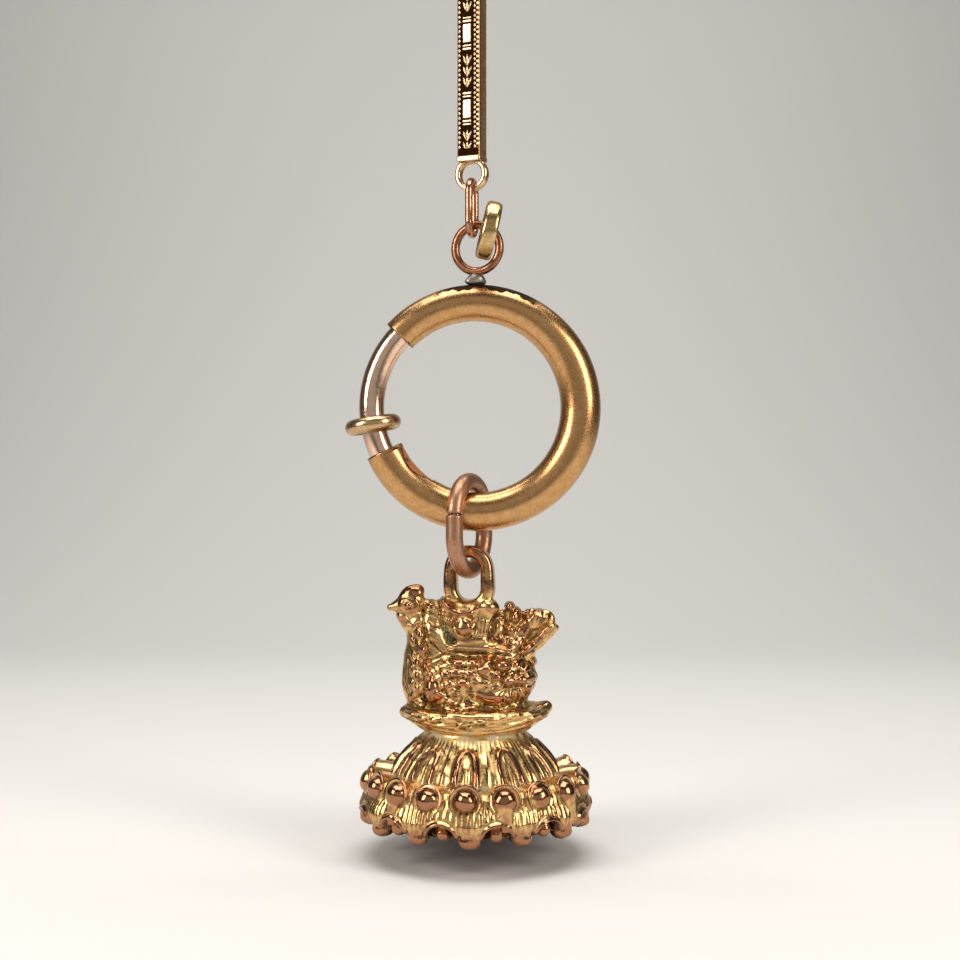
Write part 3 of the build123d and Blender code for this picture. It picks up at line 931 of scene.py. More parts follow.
class Relief:
    """Low relief on the front and back of a solid, drawn in the front view."""

    dome_power = 2.6
    dome_round = 0.6
    moat_at = 1.14
    moat_width = 0.07
    moat_depth = 0.11
    groove_mark = 1.3

    def __init__(self, clay: Clay) -> None:
        """Start with a plain surface.

        Args:
            clay: The solid that takes the relief.
        """
        self.clay = clay
        self.x, self.z = np.meshgrid(clay.axes[0], clay.axes[2], indexing="ij")
        self.raised, self.sunk = np.zeros_like(self.x), np.zeros_like(self.x)

    def bump(self, x: float, z: float, across: float, tall: float, tilt: float, height: float) -> None:
        """Raise a rounded bump with a fine groove around it.

        Args:
            x: Its place to the right.
            z: Its height.
            across: Half its length.
            tall: Half its width.
            tilt: Its tilt.
            height: How far it stands out.
        """
        turn = np.radians(tilt)
        a = ((self.x - x) * np.cos(turn) + (self.z - z) * np.sin(turn)) / across
        b = ((self.z - z) * np.cos(turn) - (self.x - x) * np.sin(turn)) / tall
        away = np.hypot(a, b)
        dome = height * np.clip(1 - away**self.dome_power, 0, 1) ** self.dome_round
        moat = np.exp(-(((away - self.moat_at) * min(across, tall) / self.moat_width) ** 2))
        self.raised = np.maximum(self.raised, dome)
        self.sunk = np.maximum(self.sunk, self.moat_depth * moat)

    def stroke(self, width: float, height: float, line: Line) -> None:
        """Draw a rounded ridge, or a groove if its height is below 0.

        Args:
            width: Half its width.
            height: How far it stands out.
            line: The points that it passes through.
        """
        gap = np.full_like(self.x, 9.0)
        for (ax, az), (bx, bz) in zip(line[:-1], line[1:]):
            rx, rz = bx - ax, bz - az
            share = np.clip(((self.x - ax) * rx + (self.z - az) * rz) / (rx * rx + rz * rz), 0, 1)
            gap = np.minimum(gap, np.hypot(self.x - ax - rx * share, self.z - az - rz * share))
        shape = abs(height) * np.exp(-((gap / width) ** 2))
        if height > 0:
            self.raised = np.maximum(self.raised, shape)
        else:
            self.sunk = np.maximum(self.sunk, shape)

    def strokes(self, count: int, width: float, height: float, first: Line, last: Line | None = None) -> None:
        """Draw evenly spread strokes.

        Args:
            count: How many.
            width: Half the width of each.
            height: How far each stands out.
            first: The first one's points.
            last: The last one's points.
        """
        moved = np.subtract(first if last is None else last, first)
        for share in np.linspace(0, 1, count):
            self.stroke(width, height, np.add(first, moved * share).tolist())

    def ring(self, x: float, z: float, radius: float, width: float, height: float) -> None:
        """Draw a round ridge or groove.

        Args:
            x: Its centre to the right.
            z: Its centre's height.
            radius: Its radius.
            width: Half its width.
            height: How far it stands out.
        """
        turns = np.linspace(0, 2 * np.pi, 25)
        self.stroke(width, height, [(x + radius * np.cos(t), z + radius * np.sin(t)) for t in turns])

    def apply(self, start: float, full: float) -> None:
        """Press the relief into the solid's front and back.

        Args:
            start: How far from the middle plane it begins.
            full: How far from the middle plane it has its full height.
        """
        share = fade(np.abs(self.clay.axes[1]), start, full - start)
        share = share * share * (3 - 2 * share)
        drawn = (self.raised - self.sunk)[:, None, :] * share[None, :, None]
        self.clay.value -= drawn.astype(np.float32)
        self.clay.drawn = self.raised - self.groove_mark * self.sunk


# The seal


@dataclass(frozen=True)
class Knob:
    """A round knob on the rim, stretched sideways and upwards."""

    out: float
    up: float
    radius: float
    blend: float
    broad: float = 1.0
    tall: float = 1.0
    steep: float = 1.0

    def added(self, value: Array, side: Array, out: Array, height: Array) -> Array:
        """Add the knob to a solid.

        Args:
            value: The solid's distances.
            side: Distances beside the knob's middle.
            out: Distances out along its radius.
            height: Heights.

        Returns:
            The distances with the knob.
        """
        up = (height - self.up) / self.tall
        reach = np.sqrt((side / self.broad) ** 2 + (out - self.out) ** 2 + up**2)
        return smooth_low(value, (reach - self.radius) * self.steep, self.blend)


@dataclass(frozen=True)
class SealBase:
    """Domed foot of the seal: skirt, lobes, beads in cups and ribbed dome."""

    rim: float = 9.6
    rim_height: float = 3.7
    collar: float = 8.3
    land: float = 0.3
    skirt: float = 0.75
    recess: float = 7.34
    seat: float = 1.79
    dome_foot: float = 6.95
    waist: float = 4.25
    waist_level: float = 7.3
    hollow: float = 0.2
    top: float = 7.9
    lobes: int = 13
    lobe_phase: float = -3.0
    foot: Knob = Knob(8.65, 0.3, 0.88, 0.3, tall=0.72, steep=0.75)
    shin: Knob = Knob(8.62, 1.1, 0.86, 0.25, 0.8, 1.4)
    pearl: Knob = Knob(8.62, 0.72, 0.56, 0.06)
    neck_out: float = 8.6
    neck_radius: float = 0.34
    neck_level: float = 1.2
    neck_half: float = 0.6
    notch_level: float = -0.32
    notch: float = 0.16
    notch_from: float = 8.9
    arch: float = 1.16
    arch_level: float = 0.35
    beads: int = 18
    bead_phase: float = -5.0
    bead_radius: float = 1.0
    bead_ring: float = 8.55
    bead_out: float = 0.05
    bead_height: float = 3.25
    bead_lift: float = 12.0
    cup: float = 1.24
    cup_face: float = 0.3
    cup_deep: float = 0.6
    cup_lip: float = 0.12
    tails: tuple[int, ...] = (-8, -5, -2, 1, 3, 6)
    tail_start: float = 0.3
    tail_taper: float = 1.9
    tail_long: float = 2.2
    tail_radius: float = 0.66
    tail_slims: float = 0.3
    tail_out: float = 0.38
    tail_leans: float = 0.35
    arches: int = 11
    arch_phase: float = -7.0
    leaf_half: float = 7.6
    leaf_foot: float = 3.6
    leaf_tall: float = 3.0
    ribs: int = 77
    step: float = 0.085
    spoke_step: float = 0.05
    margin: float = 0.6

    @property
    def gap_phase(self) -> float:
        """Return the angle of a gap between two lobes."""
        return self.lobe_phase + 180 / self.lobes

    def meridian(self) -> list[tuple[float, float]]:
        """Return the outline that the base is turned from, as radius and height.

        Returns:
            The outline's points in order, from the seat's middle round to the top's middle.
        """
        share = np.linspace(0, 1, 12)
        bent = share - self.hollow * np.sin(np.pi * share) * (1 - share)
        slope = self.dome_foot + (self.waist - self.dome_foot) * bent
        rise = self.rim_height + (self.waist_level - self.rim_height) * share
        return [
            (0.0, self.seat),
            (self.recess, self.seat),
            (self.recess, self.land),
            (self.collar, self.land),
            (self.collar + 0.1, self.skirt),
            (self.rim - 0.3, self.skirt),
            (self.rim - 0.02, self.skirt + 0.7),
            (self.rim - 0.3, self.rim_height - 1.5),
            (self.bead_ring + 0.35, self.rim_height - 0.9),
            (self.bead_ring + 0.1, self.rim_height - 0.3),
            (self.bead_ring - 0.4, self.rim_height + 0.1),
            *zip(slope, rise),
            (self.waist - 0.15, self.top - 0.15),
            (self.waist - 0.65, self.top),
            (0.0, self.top),
        ]

    def outline(self, radius: Array, height: Array) -> Array:
        """Measure from the turned outline.

        Args:
            radius: Distances from the axis.
            height: Heights.

        Returns:
            Signed distances, below 0 inside.
        """
        line = self.meridian()
        gap = np.full(radius.shape, 99.0, np.float32)
        inside = np.zeros(radius.shape, bool)
        for (ar, ah), (br, bh) in zip(line[:-1], line[1:]):
            rr, rh = br - ar, bh - ah
            share = np.clip(((radius - ar) * rr + (height - ah) * rh) / (rr * rr + rh * rh), 0, 1)
            gap = np.minimum(gap, np.hypot(radius - ar - rr * share, height - ah - rh * share))
            if rh:
                crosses = (ah <= height) != (bh <= height)
                inside ^= crosses & (radius < ar + (height - ah) * rr / rh)
        return np.where(inside, -gap, gap).astype(np.float32)

    def turned(self, radius: Array, levels: Array) -> Array:
        """Turn the outline about the axis.

        Args:
            radius: Distances from the axis, one for each column of the grid.
            levels: The grid's heights.

        Returns:
            Signed distances.
        """
        spoke = np.arange(0, (self.rim + self.margin) * 1.5, self.spoke_step)
        table = self.outline(*np.meshgrid(spoke, levels, indexing="ij"))
        place = np.clip(radius / self.spoke_step, 0, len(spoke) - 2)
        low, part = place.astype(int), (place - place.astype(int))[..., None]
        return (table[low] * (1 - part) + table[low + 1] * part).astype(np.float32)

    @staticmethod
    def nearest(angle: Array, count: int, phase: float) -> tuple[Array, Array]:
        """Find the nearest of some evenly spaced places.

        Args:
            angle: Angles from the front.
            count: How many places there are.
            phase: The angle of the first.

        Returns:
            The turn from it in radians, and its number.
        """
        pitch = 360 / count
        number = np.round((angle - phase) / pitch)
        return np.radians(angle - phase - number * pitch), number

    def beside(self, radius: Array, angle: Array, count: int, phase: float) -> tuple[Array, Array]:
        """Measure from the nearest of some evenly spaced radii.

        Args:
            radius: Distances from the axis.
            angle: Angles from the front.
            count: How many radii there are.
            phase: The angle of the first.

        Returns:
            The distances beside it and out along it.
        """
        turn, _ = self.nearest(angle, count, phase)
        return radius * np.sin(turn), radius * np.cos(turn)

    def arch_gap(self, side: Array, height: Array) -> Array:
        """Return how far a place is outside the arch between two lobes."""
        return np.hypot(side, height - self.arch_level) - self.arch

    def leaf_edge(self, radius: Array, angle: Array, height: Array) -> tuple[Array, Array]:
        """Measure from the edge of the nearest leaf arch on the dome.

        Args:
            radius: Distances from the axis.
            angle: Angles from the front.
            height: Heights.

        Returns:
            The distance outside it, and the share of its height.
        """
        turn, number = self.nearest(angle, self.arches, self.arch_phase)
        rise = np.clip((height - self.leaf_foot) / (self.leaf_tall + 0.12 * np.sin(number * 2.3)), 0, 1.2)
        half = self.leaf_half * np.sqrt(np.clip(1 - rise**6, 0, 1))
        return (np.abs(np.degrees(turn)) - half) * (np.clip(radius, 1, 9) * np.pi / 180), rise

    def clay(self) -> Clay:
        """Shape the base.

        Returns:
            The solid.
        """
        reach = self.rim + self.margin
        clay = Clay((-reach, -reach, -0.7), (reach, reach, self.top + 0.3), self.step)
        x, y, height = np.meshgrid(*clay.axes, indexing="ij", sparse=True)
        radius, angle = np.hypot(x, y), np.degrees(np.arctan2(x, -y))
        value = self.turned(radius[..., 0], clay.axes[2])
        value -= self.dome_relief(radius, angle, height)
        value -= self.skirt_relief(radius, angle, height)
        side, out = self.beside(radius, angle, self.lobes, self.gap_phase)
        value = np.where(out > self.collar, smooth_cut(value, self.arch_gap(side, height), 0.1), value)
        value = self.pearl.added(value, side, out, height)
        neck = np.hypot(side, out - self.neck_out) - self.neck_radius
        value = smooth_low(value, np.maximum(neck, np.abs(height - self.neck_level) - self.neck_half), 0.1)
        side, out = self.beside(radius, angle, self.lobes, self.lobe_phase)
        value = self.foot.added(value, side, out, height)
        value = self.shin.added(value, side, out, height)
        notch = np.hypot(side, height - self.notch_level) - self.notch
        value = np.where(out > self.notch_from, smooth_cut(value, notch, 0.12), value)
        clay.value = self.with_beads(value, radius, angle, height).astype(np.float32)
        clay.uneven(2.2, 0.05, SEED)
        return clay

    def dome_relief(self, radius: Array, angle: Array, height: Array) -> Array:
        """Carve the dome's ribs and leaf arches.

        Args:
            radius: Distances from the axis.
            angle: Angles from the front.
            height: Heights.

        Returns:
            How far they stand out.
        """
        turn = np.radians(angle)
        wander = 0.5 * np.sin(turn * 9 + 1) + 0.35 * np.sin(turn * 23 + height)
        edge, rise = self.leaf_edge(radius, angle, height)
        rib, _ = self.nearest(angle + wander, self.ribs, 0.0)
        wave = np.abs(np.sin(rib * self.ribs / 2))
        ribs = (0.12 + 0.03 * np.sin(turn * 31)) * (1 - wave**1.4) - 0.03
        legs = 0.24 * ridge(edge, 0.25, 4) - 0.12 * ridge(np.abs(edge) - 0.42, 0.1)
        plain = ridge(edge, 0.36, 4) * (rise < 1)
        shape = ribs * (1 - plain) + legs * (rise < 1)
        there = fade(radius, 7.2, -0.25) * fade(height, 3.7, 0.25)
        return (shape * there * fade(height, 7.35, -0.5)).astype(np.float32)

    def skirt_relief(self, radius: Array, angle: Array, height: Array) -> Array:
        """Carve the skirt's fine lines and the ropes round its arches.

        Args:
            radius: Distances from the axis.
            angle: Angles from the front.
            height: Heights.

        Returns:
            How far they stand out.
        """
        turn = np.radians(angle)
        side, _ = self.beside(radius, angle, self.lobes, self.gap_phase)
        gap = self.arch_gap(side, height)
        rope = 0.16 * ridge(gap - 0.15, 0.15, 4) - 0.08 * ridge(gap - 0.42, 0.09)
        wander = 0.7 * np.sin(turn * 13) + 0.5 * np.sin(height * 2 + turn * 29)
        lines = 0.055 * np.cos(turn * 126 + wander) * fade(gap, 0.45, 0.2) * (1 + 0.4 * np.sin(turn * 11))
        there = fade(radius, 8.4, 0.3) * fade(height, 3.6, -0.4) * (height > 0.4)
        return ((rope + lines) * there).astype(np.float32)

    def with_beads(self, value: Array, radius: Array, angle: Array, height: Array) -> Array:
        """Add the beads, their double-rimmed cups and the drop-shaped tails.

        Args:
            value: The distances so far.
            radius: Distances from the axis.
            angle: Angles from the front.
            height: Heights.

        Returns:
            The distances with the beads.
        """
        side, out = self.beside(radius, angle, self.beads, self.bead_phase)
        _, number = self.nearest(angle, self.beads, self.bead_phase)
        out, up = out - self.bead_ring, height - self.bead_height
        lift = np.radians(self.bead_lift)
        front = out * np.cos(lift) + up * np.sin(lift)
        across = np.hypot(side, up * np.cos(lift) - out * np.sin(lift))
        cup = np.maximum(across - self.cup, np.abs(front + self.cup_deep) - self.cup_deep - self.cup_face)
        value = smooth_low(value, cup, 0.12)
        lip = np.hypot(across - self.cup, front - self.cup_face) - self.cup_lip
        value = smooth_low(value, lip, 0.03)
        ball = np.sqrt(side**2 + (out - self.bead_out) ** 2 + up**2) - self.bead_radius
        value = smooth_low(value, ball, 0.01)
        drop = fade(height, self.bead_height - self.tail_start, -self.tail_taper)
        core = np.hypot(side, out - self.tail_out - self.tail_leans * drop)
        tail = core - (self.tail_radius - self.tail_slims * drop)
        tail = np.maximum(tail, np.maximum(up, -self.tail_long - up))
        chosen = np.isin(number % self.beads, [t % self.beads for t in self.tails])
        return np.where(chosen, smooth_low(value, tail, 0.15), value)

    def skin(self) -> Skin:
        """Mesh the base, with its feet, beads and arches rubbed, dirt and painted shade in its hollows, and
        painted shade in the recess behind its arches.

        Returns:
            The mesh.
        """
        skin = self.clay().skin()
        x, y, height = skin.points.T
        radius, angle = np.hypot(x, y), np.degrees(np.arctan2(x, -y))
        foot = fade(height, 1.2, -0.7) * (radius > 8.9)
        side, _ = self.beside(radius, angle, self.lobes, self.gap_phase)
        rope = fade(self.arch_gap(side, height), 0.32, -0.12) * (radius > 8.7) * (height < 2.6)
        side, out = self.beside(radius, angle, self.beads, self.bead_phase)
        ball = np.sqrt(side**2 + (out - self.bead_ring) ** 2 + (height - self.bead_height) ** 2)
        bead = fade(ball, self.bead_radius + 0.1, -0.06)
        edge, rise = self.leaf_edge(radius, angle, height)
        leg = ridge(edge, 0.27, 4) * (rise < 0.995) * (rise > 0.05) * (radius < 7.2)
        rubbed = 0.45 * foot + 0.3 * rope + 0.8 * bead + 0.8 * leg
        # Painted shade: the recess behind the arches is darkened as if in shadow
        recess = fade(radius, 8.85, -0.3) * fade(height, 2.0, -0.4) * (radius > 7.2)
        dust_and_reflection = ridge(height - 7.5, 0.4) + 0.6 * ridge(height - 3.85, 0.3)
        skin.values["wear"] = np.clip(skin.values["wear"] + rubbed, 0, 1)
        # Dirt and painted shade in the hollows, none on the face under the stone, and the painted shade of
        # the recess
        skin.values["grime"] = np.clip(skin.values["grime"] * (height > 0.5) + 1.5 * recess, 0, 2)
        skin.values["dust_and_reflection"] = np.clip(dust_and_reflection * (radius < 7.9), 0, 1)
        return skin

    @staticmethod
    def shown(middle: Array) -> Array:
        """Tell the faces that show from those under the stone or the bird, by their middles."""
        radius, height = np.hypot(middle[:, 0], middle[:, 1]), middle[:, 2]
        return ~((radius < 7.1) & (height > 1.0) & (height < 2.0) | (radius < 3.4) & (height > 7.8))


# Main forms of the bird: the shape, its fillet, and whether the back has it too
BIRD_FORMS = (
    # Body, breast and rump
    (Egg((-0.4, 0, 11.6), (5.0, 2.6, 2.9)), 0.2),
    (Egg((2.7, 0, 11.7), (2.35, 2.2, 2.3)), 0.5),
    (Egg((-3.95, 0, 12.0), (2.25, 2.35, 3.1)), 0.5),
    (Rod((-4.2, 0, 13.2), (-4.7, 0, 16.4), 1.65, 0.98), 0.6),
    (Egg((-0.6, 0, 9.7), (5.0, 2.9, 1.4)), 0.3),
    # Wings
    (Egg((-0.4, -1.95, 11.5), (3.75, 1.05, 2.1), -3), 0.25, True),
    # Head, beak and crest
    (Egg((-5.4, 0, 17.8), (1.22, 1.1, 1.16)), 0.35),
    (Rod((-6.0, 0, 17.85), (-7.06, 0, 17.6), 0.9, 0.33), 0.2),
    (Egg((-5.35, 0, 18.75), (1.05, 0.66, 0.66), 22), 0.35),
    (Egg((-4.75, 0, 18.85), (0.42, 0.6, 0.5), -20), 0.35),
    (Rod((-6.0, 0, 17.0), (-5.5, 0, 16.2), 0.6, 0.6), 0.3),
    # Mantle
    (Rod((-3.7, 0, 17.5), (-3.6, 0, 15.6), 0.8, 0.95, 1.3), 0.6),
    (Rod((-3.6, 0, 15.6), (-2.6, 0, 14.2), 0.9, 1.0, 1.6), 0.5),
    # Pedestal
    (Block((-0.75, 0, 15.8), (2.6, 1.4, 2.35), 0.9, 0.1), 0.3),
    (Egg((-0.93, -1.15, 16.06), (0.76, 0.75, 0.76)), 0.08, True),
    (Egg((1.1, -0.75, 17.65), (0.8, 0.75, 0.66), -8), 0.12, True),
    (Egg((-2.75, 0, 17.9), (0.5, 1.3, 0.55)), 0.25),
    # Tail fan
    (Egg((3.0, 0, 13.9), (2.0, 1.6, 1.3)), 0.4),
    (Egg((2.0, 0, 15.7), (0.9, 1.15, 1.7), -12), 0.15),
    (Egg((3.05, 0, 16.0), (0.95, 0.95, 1.75), -15), 0.12),
    (Egg((2.85, 0, 17.75), (0.45, 0.55, 0.42)), 0.1),
    (Rod((3.5, 0, 14.3), (4.9, 0, 16.6), 0.75, 0.95, 0.85), 0.12),
    (Rod((4.0, 0, 14.0), (6.0, 0, 15.75), 0.7, 0.8, 0.8), 0.15),
    (Egg((5.5, 0, 16.25), (1.25, 0.62, 1.05), 35), 0.12),
)
# The four tips of the fan, by their turn about its root
FAN_TIPS = (34.0, 46.0, 60.0, 74.0)
# Round bulges on front and back by place across, height and half-sizes
FRONT_BULGES = (
    (-3.45, 11.1, (0.62, 0.75, 1.1)),
    (-4.0, 12.7, (0.36, 0.5, 0.7)),
    (-4.15, 14.2, (0.34, 0.95, 0.6)),
    (1.2, 10.55, (1.15, 0.62, 0.5)),
    (0.9, 12.85, (0.5, 0.62, 0.42)),
    (2.25, 12.95, (0.48, 0.52, 0.4)),
    (2.8, 11.8, (0.4, 0.42, 0.36)),
    (3.75, 11.85, (0.38, 0.2, 0.34)),
    (2.6, 10.35, (0.3, 0.35, 0.42)),
)
# Rump knobs and branch, which come after the bulges
BRANCH_FORMS = (
    (Egg((4.75, 0, 11.85), (0.4, 1.3, 0.36)), 0.12),
    (Egg((4.75, 0, 13.1), (0.36, 1.1, 0.4)), 0.15),
    (Bowl(7.4, 9.35, (4.15, 4.1), (6.0, 4.3)), 0.3),
    (Rod((2.8, 0, 8.6), (5.9, 0, 9.28), 1.0, 0.5, 1.3), 0.3),
    (Rod((-4.4, 0, 8.7), (-5.75, 0, 8.95), 0.8, 0.5, 1.8), 0.3),
)
LOOP = Loop((-0.49, 0.0, 20.68), -12.0, 2.14, 1.45, 1.04, 1.5, 0.42)
# Feathers by place across, height, half-length, half-width and tilt
WING_SCALES = (
    (-1.35, 13.35, 0.44, 0.24, -5), (-0.2, 13.35, 0.4, 0.24, 8), (1.1, 13.6, 0.46, 0.28, 12),
    (2.2, 13.05, 0.46, 0.4, -15), (0.8, 12.75, 0.5, 0.38, -18), (3.5, 13.1, 0.4, 0.34, 10),
    (-0.4, 12.35, 0.52, 0.3, -20), (-1.6, 12.5, 0.5, 0.28, -12), (1.65, 12.15, 0.42, 0.34, -10),
    (-2.6, 12.3, 0.42, 0.32, 20), (0.1, 11.65, 0.38, 0.32, -10), (-1.0, 11.6, 0.46, 0.3, -16),
    (0.85, 11.5, 0.34, 0.3, 15), (-2.2, 11.45, 0.42, 0.33, 5), (1.75, 11.35, 0.34, 0.26, 0),
    (-0.75, 10.9, 0.44, 0.26, -12), (-1.75, 10.85, 0.4, 0.28, 4), (1.25, 10.6, 1.25, 0.48, -10),
    (-0.7, 10.3, 0.95, 0.24, -14), (-0.55, 9.85, 0.5, 0.3, 0), (-1.9, 10.15, 0.5, 0.24, -8),
    (-3.55, 11.2, 0.56, 1.0, 8), (-2.9, 10.45, 0.42, 0.42, 0), (2.3, 10.5, 0.26, 0.45, 10),
    (2.9, 10.4, 0.3, 0.46, -6), (3.6, 10.55, 0.32, 0.42, 8), (2.75, 11.85, 0.34, 0.36, 0),
    (3.6, 11.85, 0.38, 0.36, 0), (4.5, 11.9, 0.36, 0.34, 0), (4.1, 12.65, 0.34, 0.36, 20),
    (3.0, 12.5, 0.3, 0.26, -10), (4.3, 11.1, 0.34, 0.34, 0),
)
BREAST_FEATHERS = (
    (-4.6, 15.5, 0.3, 0.55, 8), (-4.65, 14.3, 0.27, 0.5, 4), (-4.1, 13.4, 0.32, 0.48, 8),
    (-4.15, 12.45, 0.3, 0.46, -4), (-4.75, 13.2, 0.22, 0.45, 4), (-4.75, 12.1, 0.26, 0.5, 0),
    (-5.2, 12.6, 0.18, 0.5, 0), (-5.15, 13.8, 0.18, 0.45, 4), (-5.2, 14.9, 0.16, 0.4, 8),
    (-5.25, 11.4, 0.2, 0.46, -6), (-4.75, 10.95, 0.26, 0.46, -6), (-4.25, 11.2, 0.22, 0.5, 4),
    (-4.55, 9.95, 0.34, 0.28, -20), (-5.2, 10.3, 0.2, 0.34, -14), (-4.2, 14.4, 0.2, 0.4, 10),
)
FAN_FEATHERS = (
    (2.9, 15.65, 0.36, 0.5, 10), (3.3, 17.0, 0.33, 0.52, -16), (2.85, 17.75, 0.34, 0.32, 0),
    (2.6, 14.95, 0.6, 0.26, -20), (4.05, 15.7, 1.5, 0.42, 57), (5.1, 17.0, 0.75, 0.36, 60),
    (4.2, 17.3, 0.4, 0.3, 40), (5.55, 16.5, 0.8, 0.3, 44), (6.1, 15.85, 0.8, 0.26, 32),
    (4.75, 14.65, 1.2, 0.26, 38),
)
# Single bumps by place across, height, half-length, half-width, tilt and rise
BUMPS = (
    # Eye, and the pedestal's leaf and pellet
    (-5.55, 17.8, 0.32, 0.32, 0, 0.14),
    (-2.05, 16.55, 0.42, 0.3, -60, 0.22),
    (0.1, 17.5, 0.28, 0.24, 0, 0.05),
    # Leaves on the branch
    (-5.5, 9.0, 0.5, 0.28, 10, 0.17),
    (-4.5, 8.75, 0.5, 0.28, 10, 0.17),
    (-3.3, 8.8, 0.6, 0.28, 10, 0.17),
    (-0.9, 8.5, 0.5, 0.28, 10, 0.17),
    (0.3, 8.7, 0.5, 0.28, 10, 0.17),
)
# Lines by how many there are, half-width, rise, the first one's points and, if there are more, the last one's
LINES = (
    # The wing's edge, its shoulder and its primaries
    (1, 0.12, -0.16, ((-4.0, 12.4), (-3.8, 13.3), (-2.5, 13.95), (0.0, 14.0), (2.9, 13.75))),
    (1, 0.13, -0.22, ((-4.2, 12.0), (-4.3, 10.8), (-3.8, 9.7), (-2.5, 9.35))),
    (3, 0.11, 0.17, ((-2.6, 9.7), (-0.6, 9.4), (1.6, 9.45), (3.6, 9.9)),
     ((-2.6, 9.1), (-0.6, 8.8), (1.6, 8.85), (3.6, 9.3))),
    # The breast's columns, and the mantle's two edges
    (5, 0.07, -0.14, ((-5.5, 15.7), (-5.9, 13.4), (-5.95, 11.5), (-5.2, 9.8)),
     ((-4.7, 15.7), (-5.1, 13.4), (-5.15, 11.5), (-4.4, 9.8))),
    (1, 0.09, -0.14, ((-4.3, 18.2), (-4.35, 16.4), (-3.75, 14.9), (-2.7, 13.95))),
    (1, 0.14, -0.16, ((-2.95, 18.2), (-2.9, 16.2), (-2.2, 14.7))),
    # The cheek, the beak's split and root, the brow and the chin
    (1, 0.12, 0.1, ((-5.0, 17.3), (-4.75, 17.8), (-4.95, 18.35))),
    (1, 0.07, -0.16, ((-7.5, 17.42), (-6.55, 17.3))),
    (1, 0.07, -0.09, ((-6.45, 18.25), (-6.5, 17.6), (-6.2, 17.05))),
    (1, 0.1, -0.06, ((-6.4, 18.4), (-5.7, 18.5), (-4.8, 18.3))),
    (3, 0.09, 0.15, ((-6.6, 17.0), (-5.85, 16.1)), ((-6.0, 17.0), (-5.25, 16.1))),
    # The pedestal's scroll, hatching, hollow and quills
    (1, 0.3, 0.3, ((-2.65, 18.2), (-2.0, 17.45), (-1.35, 17.1), (-0.4, 17.2), (0.2, 17.6))),
    (1, 0.1, 0.16, ((-2.3, 17.35), (-1.75, 16.85), (-1.2, 16.8))),
    (6, 0.08, 0.12, ((-2.95, 17.9), (-2.3, 17.48)), ((-2.65, 16.1), (-2.3, 15.68))),
    (1, 0.28, -0.34, ((-2.65, 16.3), (-2.3, 15.3), (-1.8, 14.9))),
    (5, 0.1, 0.17, ((-0.05, 16.9), (-0.15, 15.5)), ((1.15, 16.5), (0.97, 15.5))),
    (1, 0.16, -0.2, ((-0.1, 17.35), (0.3, 17.5))),
    (1, 0.16, 0.14, ((-1.9, 15.4), (-0.9, 14.95), (0.6, 15.1))),
    (3, 0.1, 0.15, ((-2.3, 14.6), (-0.4, 14.45), (1.4, 14.4), (3.0, 14.15)),
     ((-2.3, 14.0), (-0.4, 13.85), (1.4, 13.8), (3.0, 13.55))),
    # The leaf beside the fan, its vein and the grooves around it
    (1, 0.1, 0.22,
     ((1.35, 15.0), (1.3, 16.0), (1.75, 16.8), (2.25, 16.75), (2.3, 16.0), (1.95, 15.1), (1.35, 15.0))),
    (1, 0.08, 0.12, ((1.65, 15.3), (1.95, 16.4))),
    (1, 0.1, -0.22, ((1.1, 14.95), (1.1, 16.2), (1.7, 17.1), (2.45, 17.1))),
    (1, 0.1, -0.22, ((2.45, 14.8), (2.6, 16.4), (2.5, 17.3))),
    # A groove in the branch
    (1, 0.12, -0.16, ((-5.9, 8.5), (-4.6, 8.3), (-3.6, 7.9))),
)


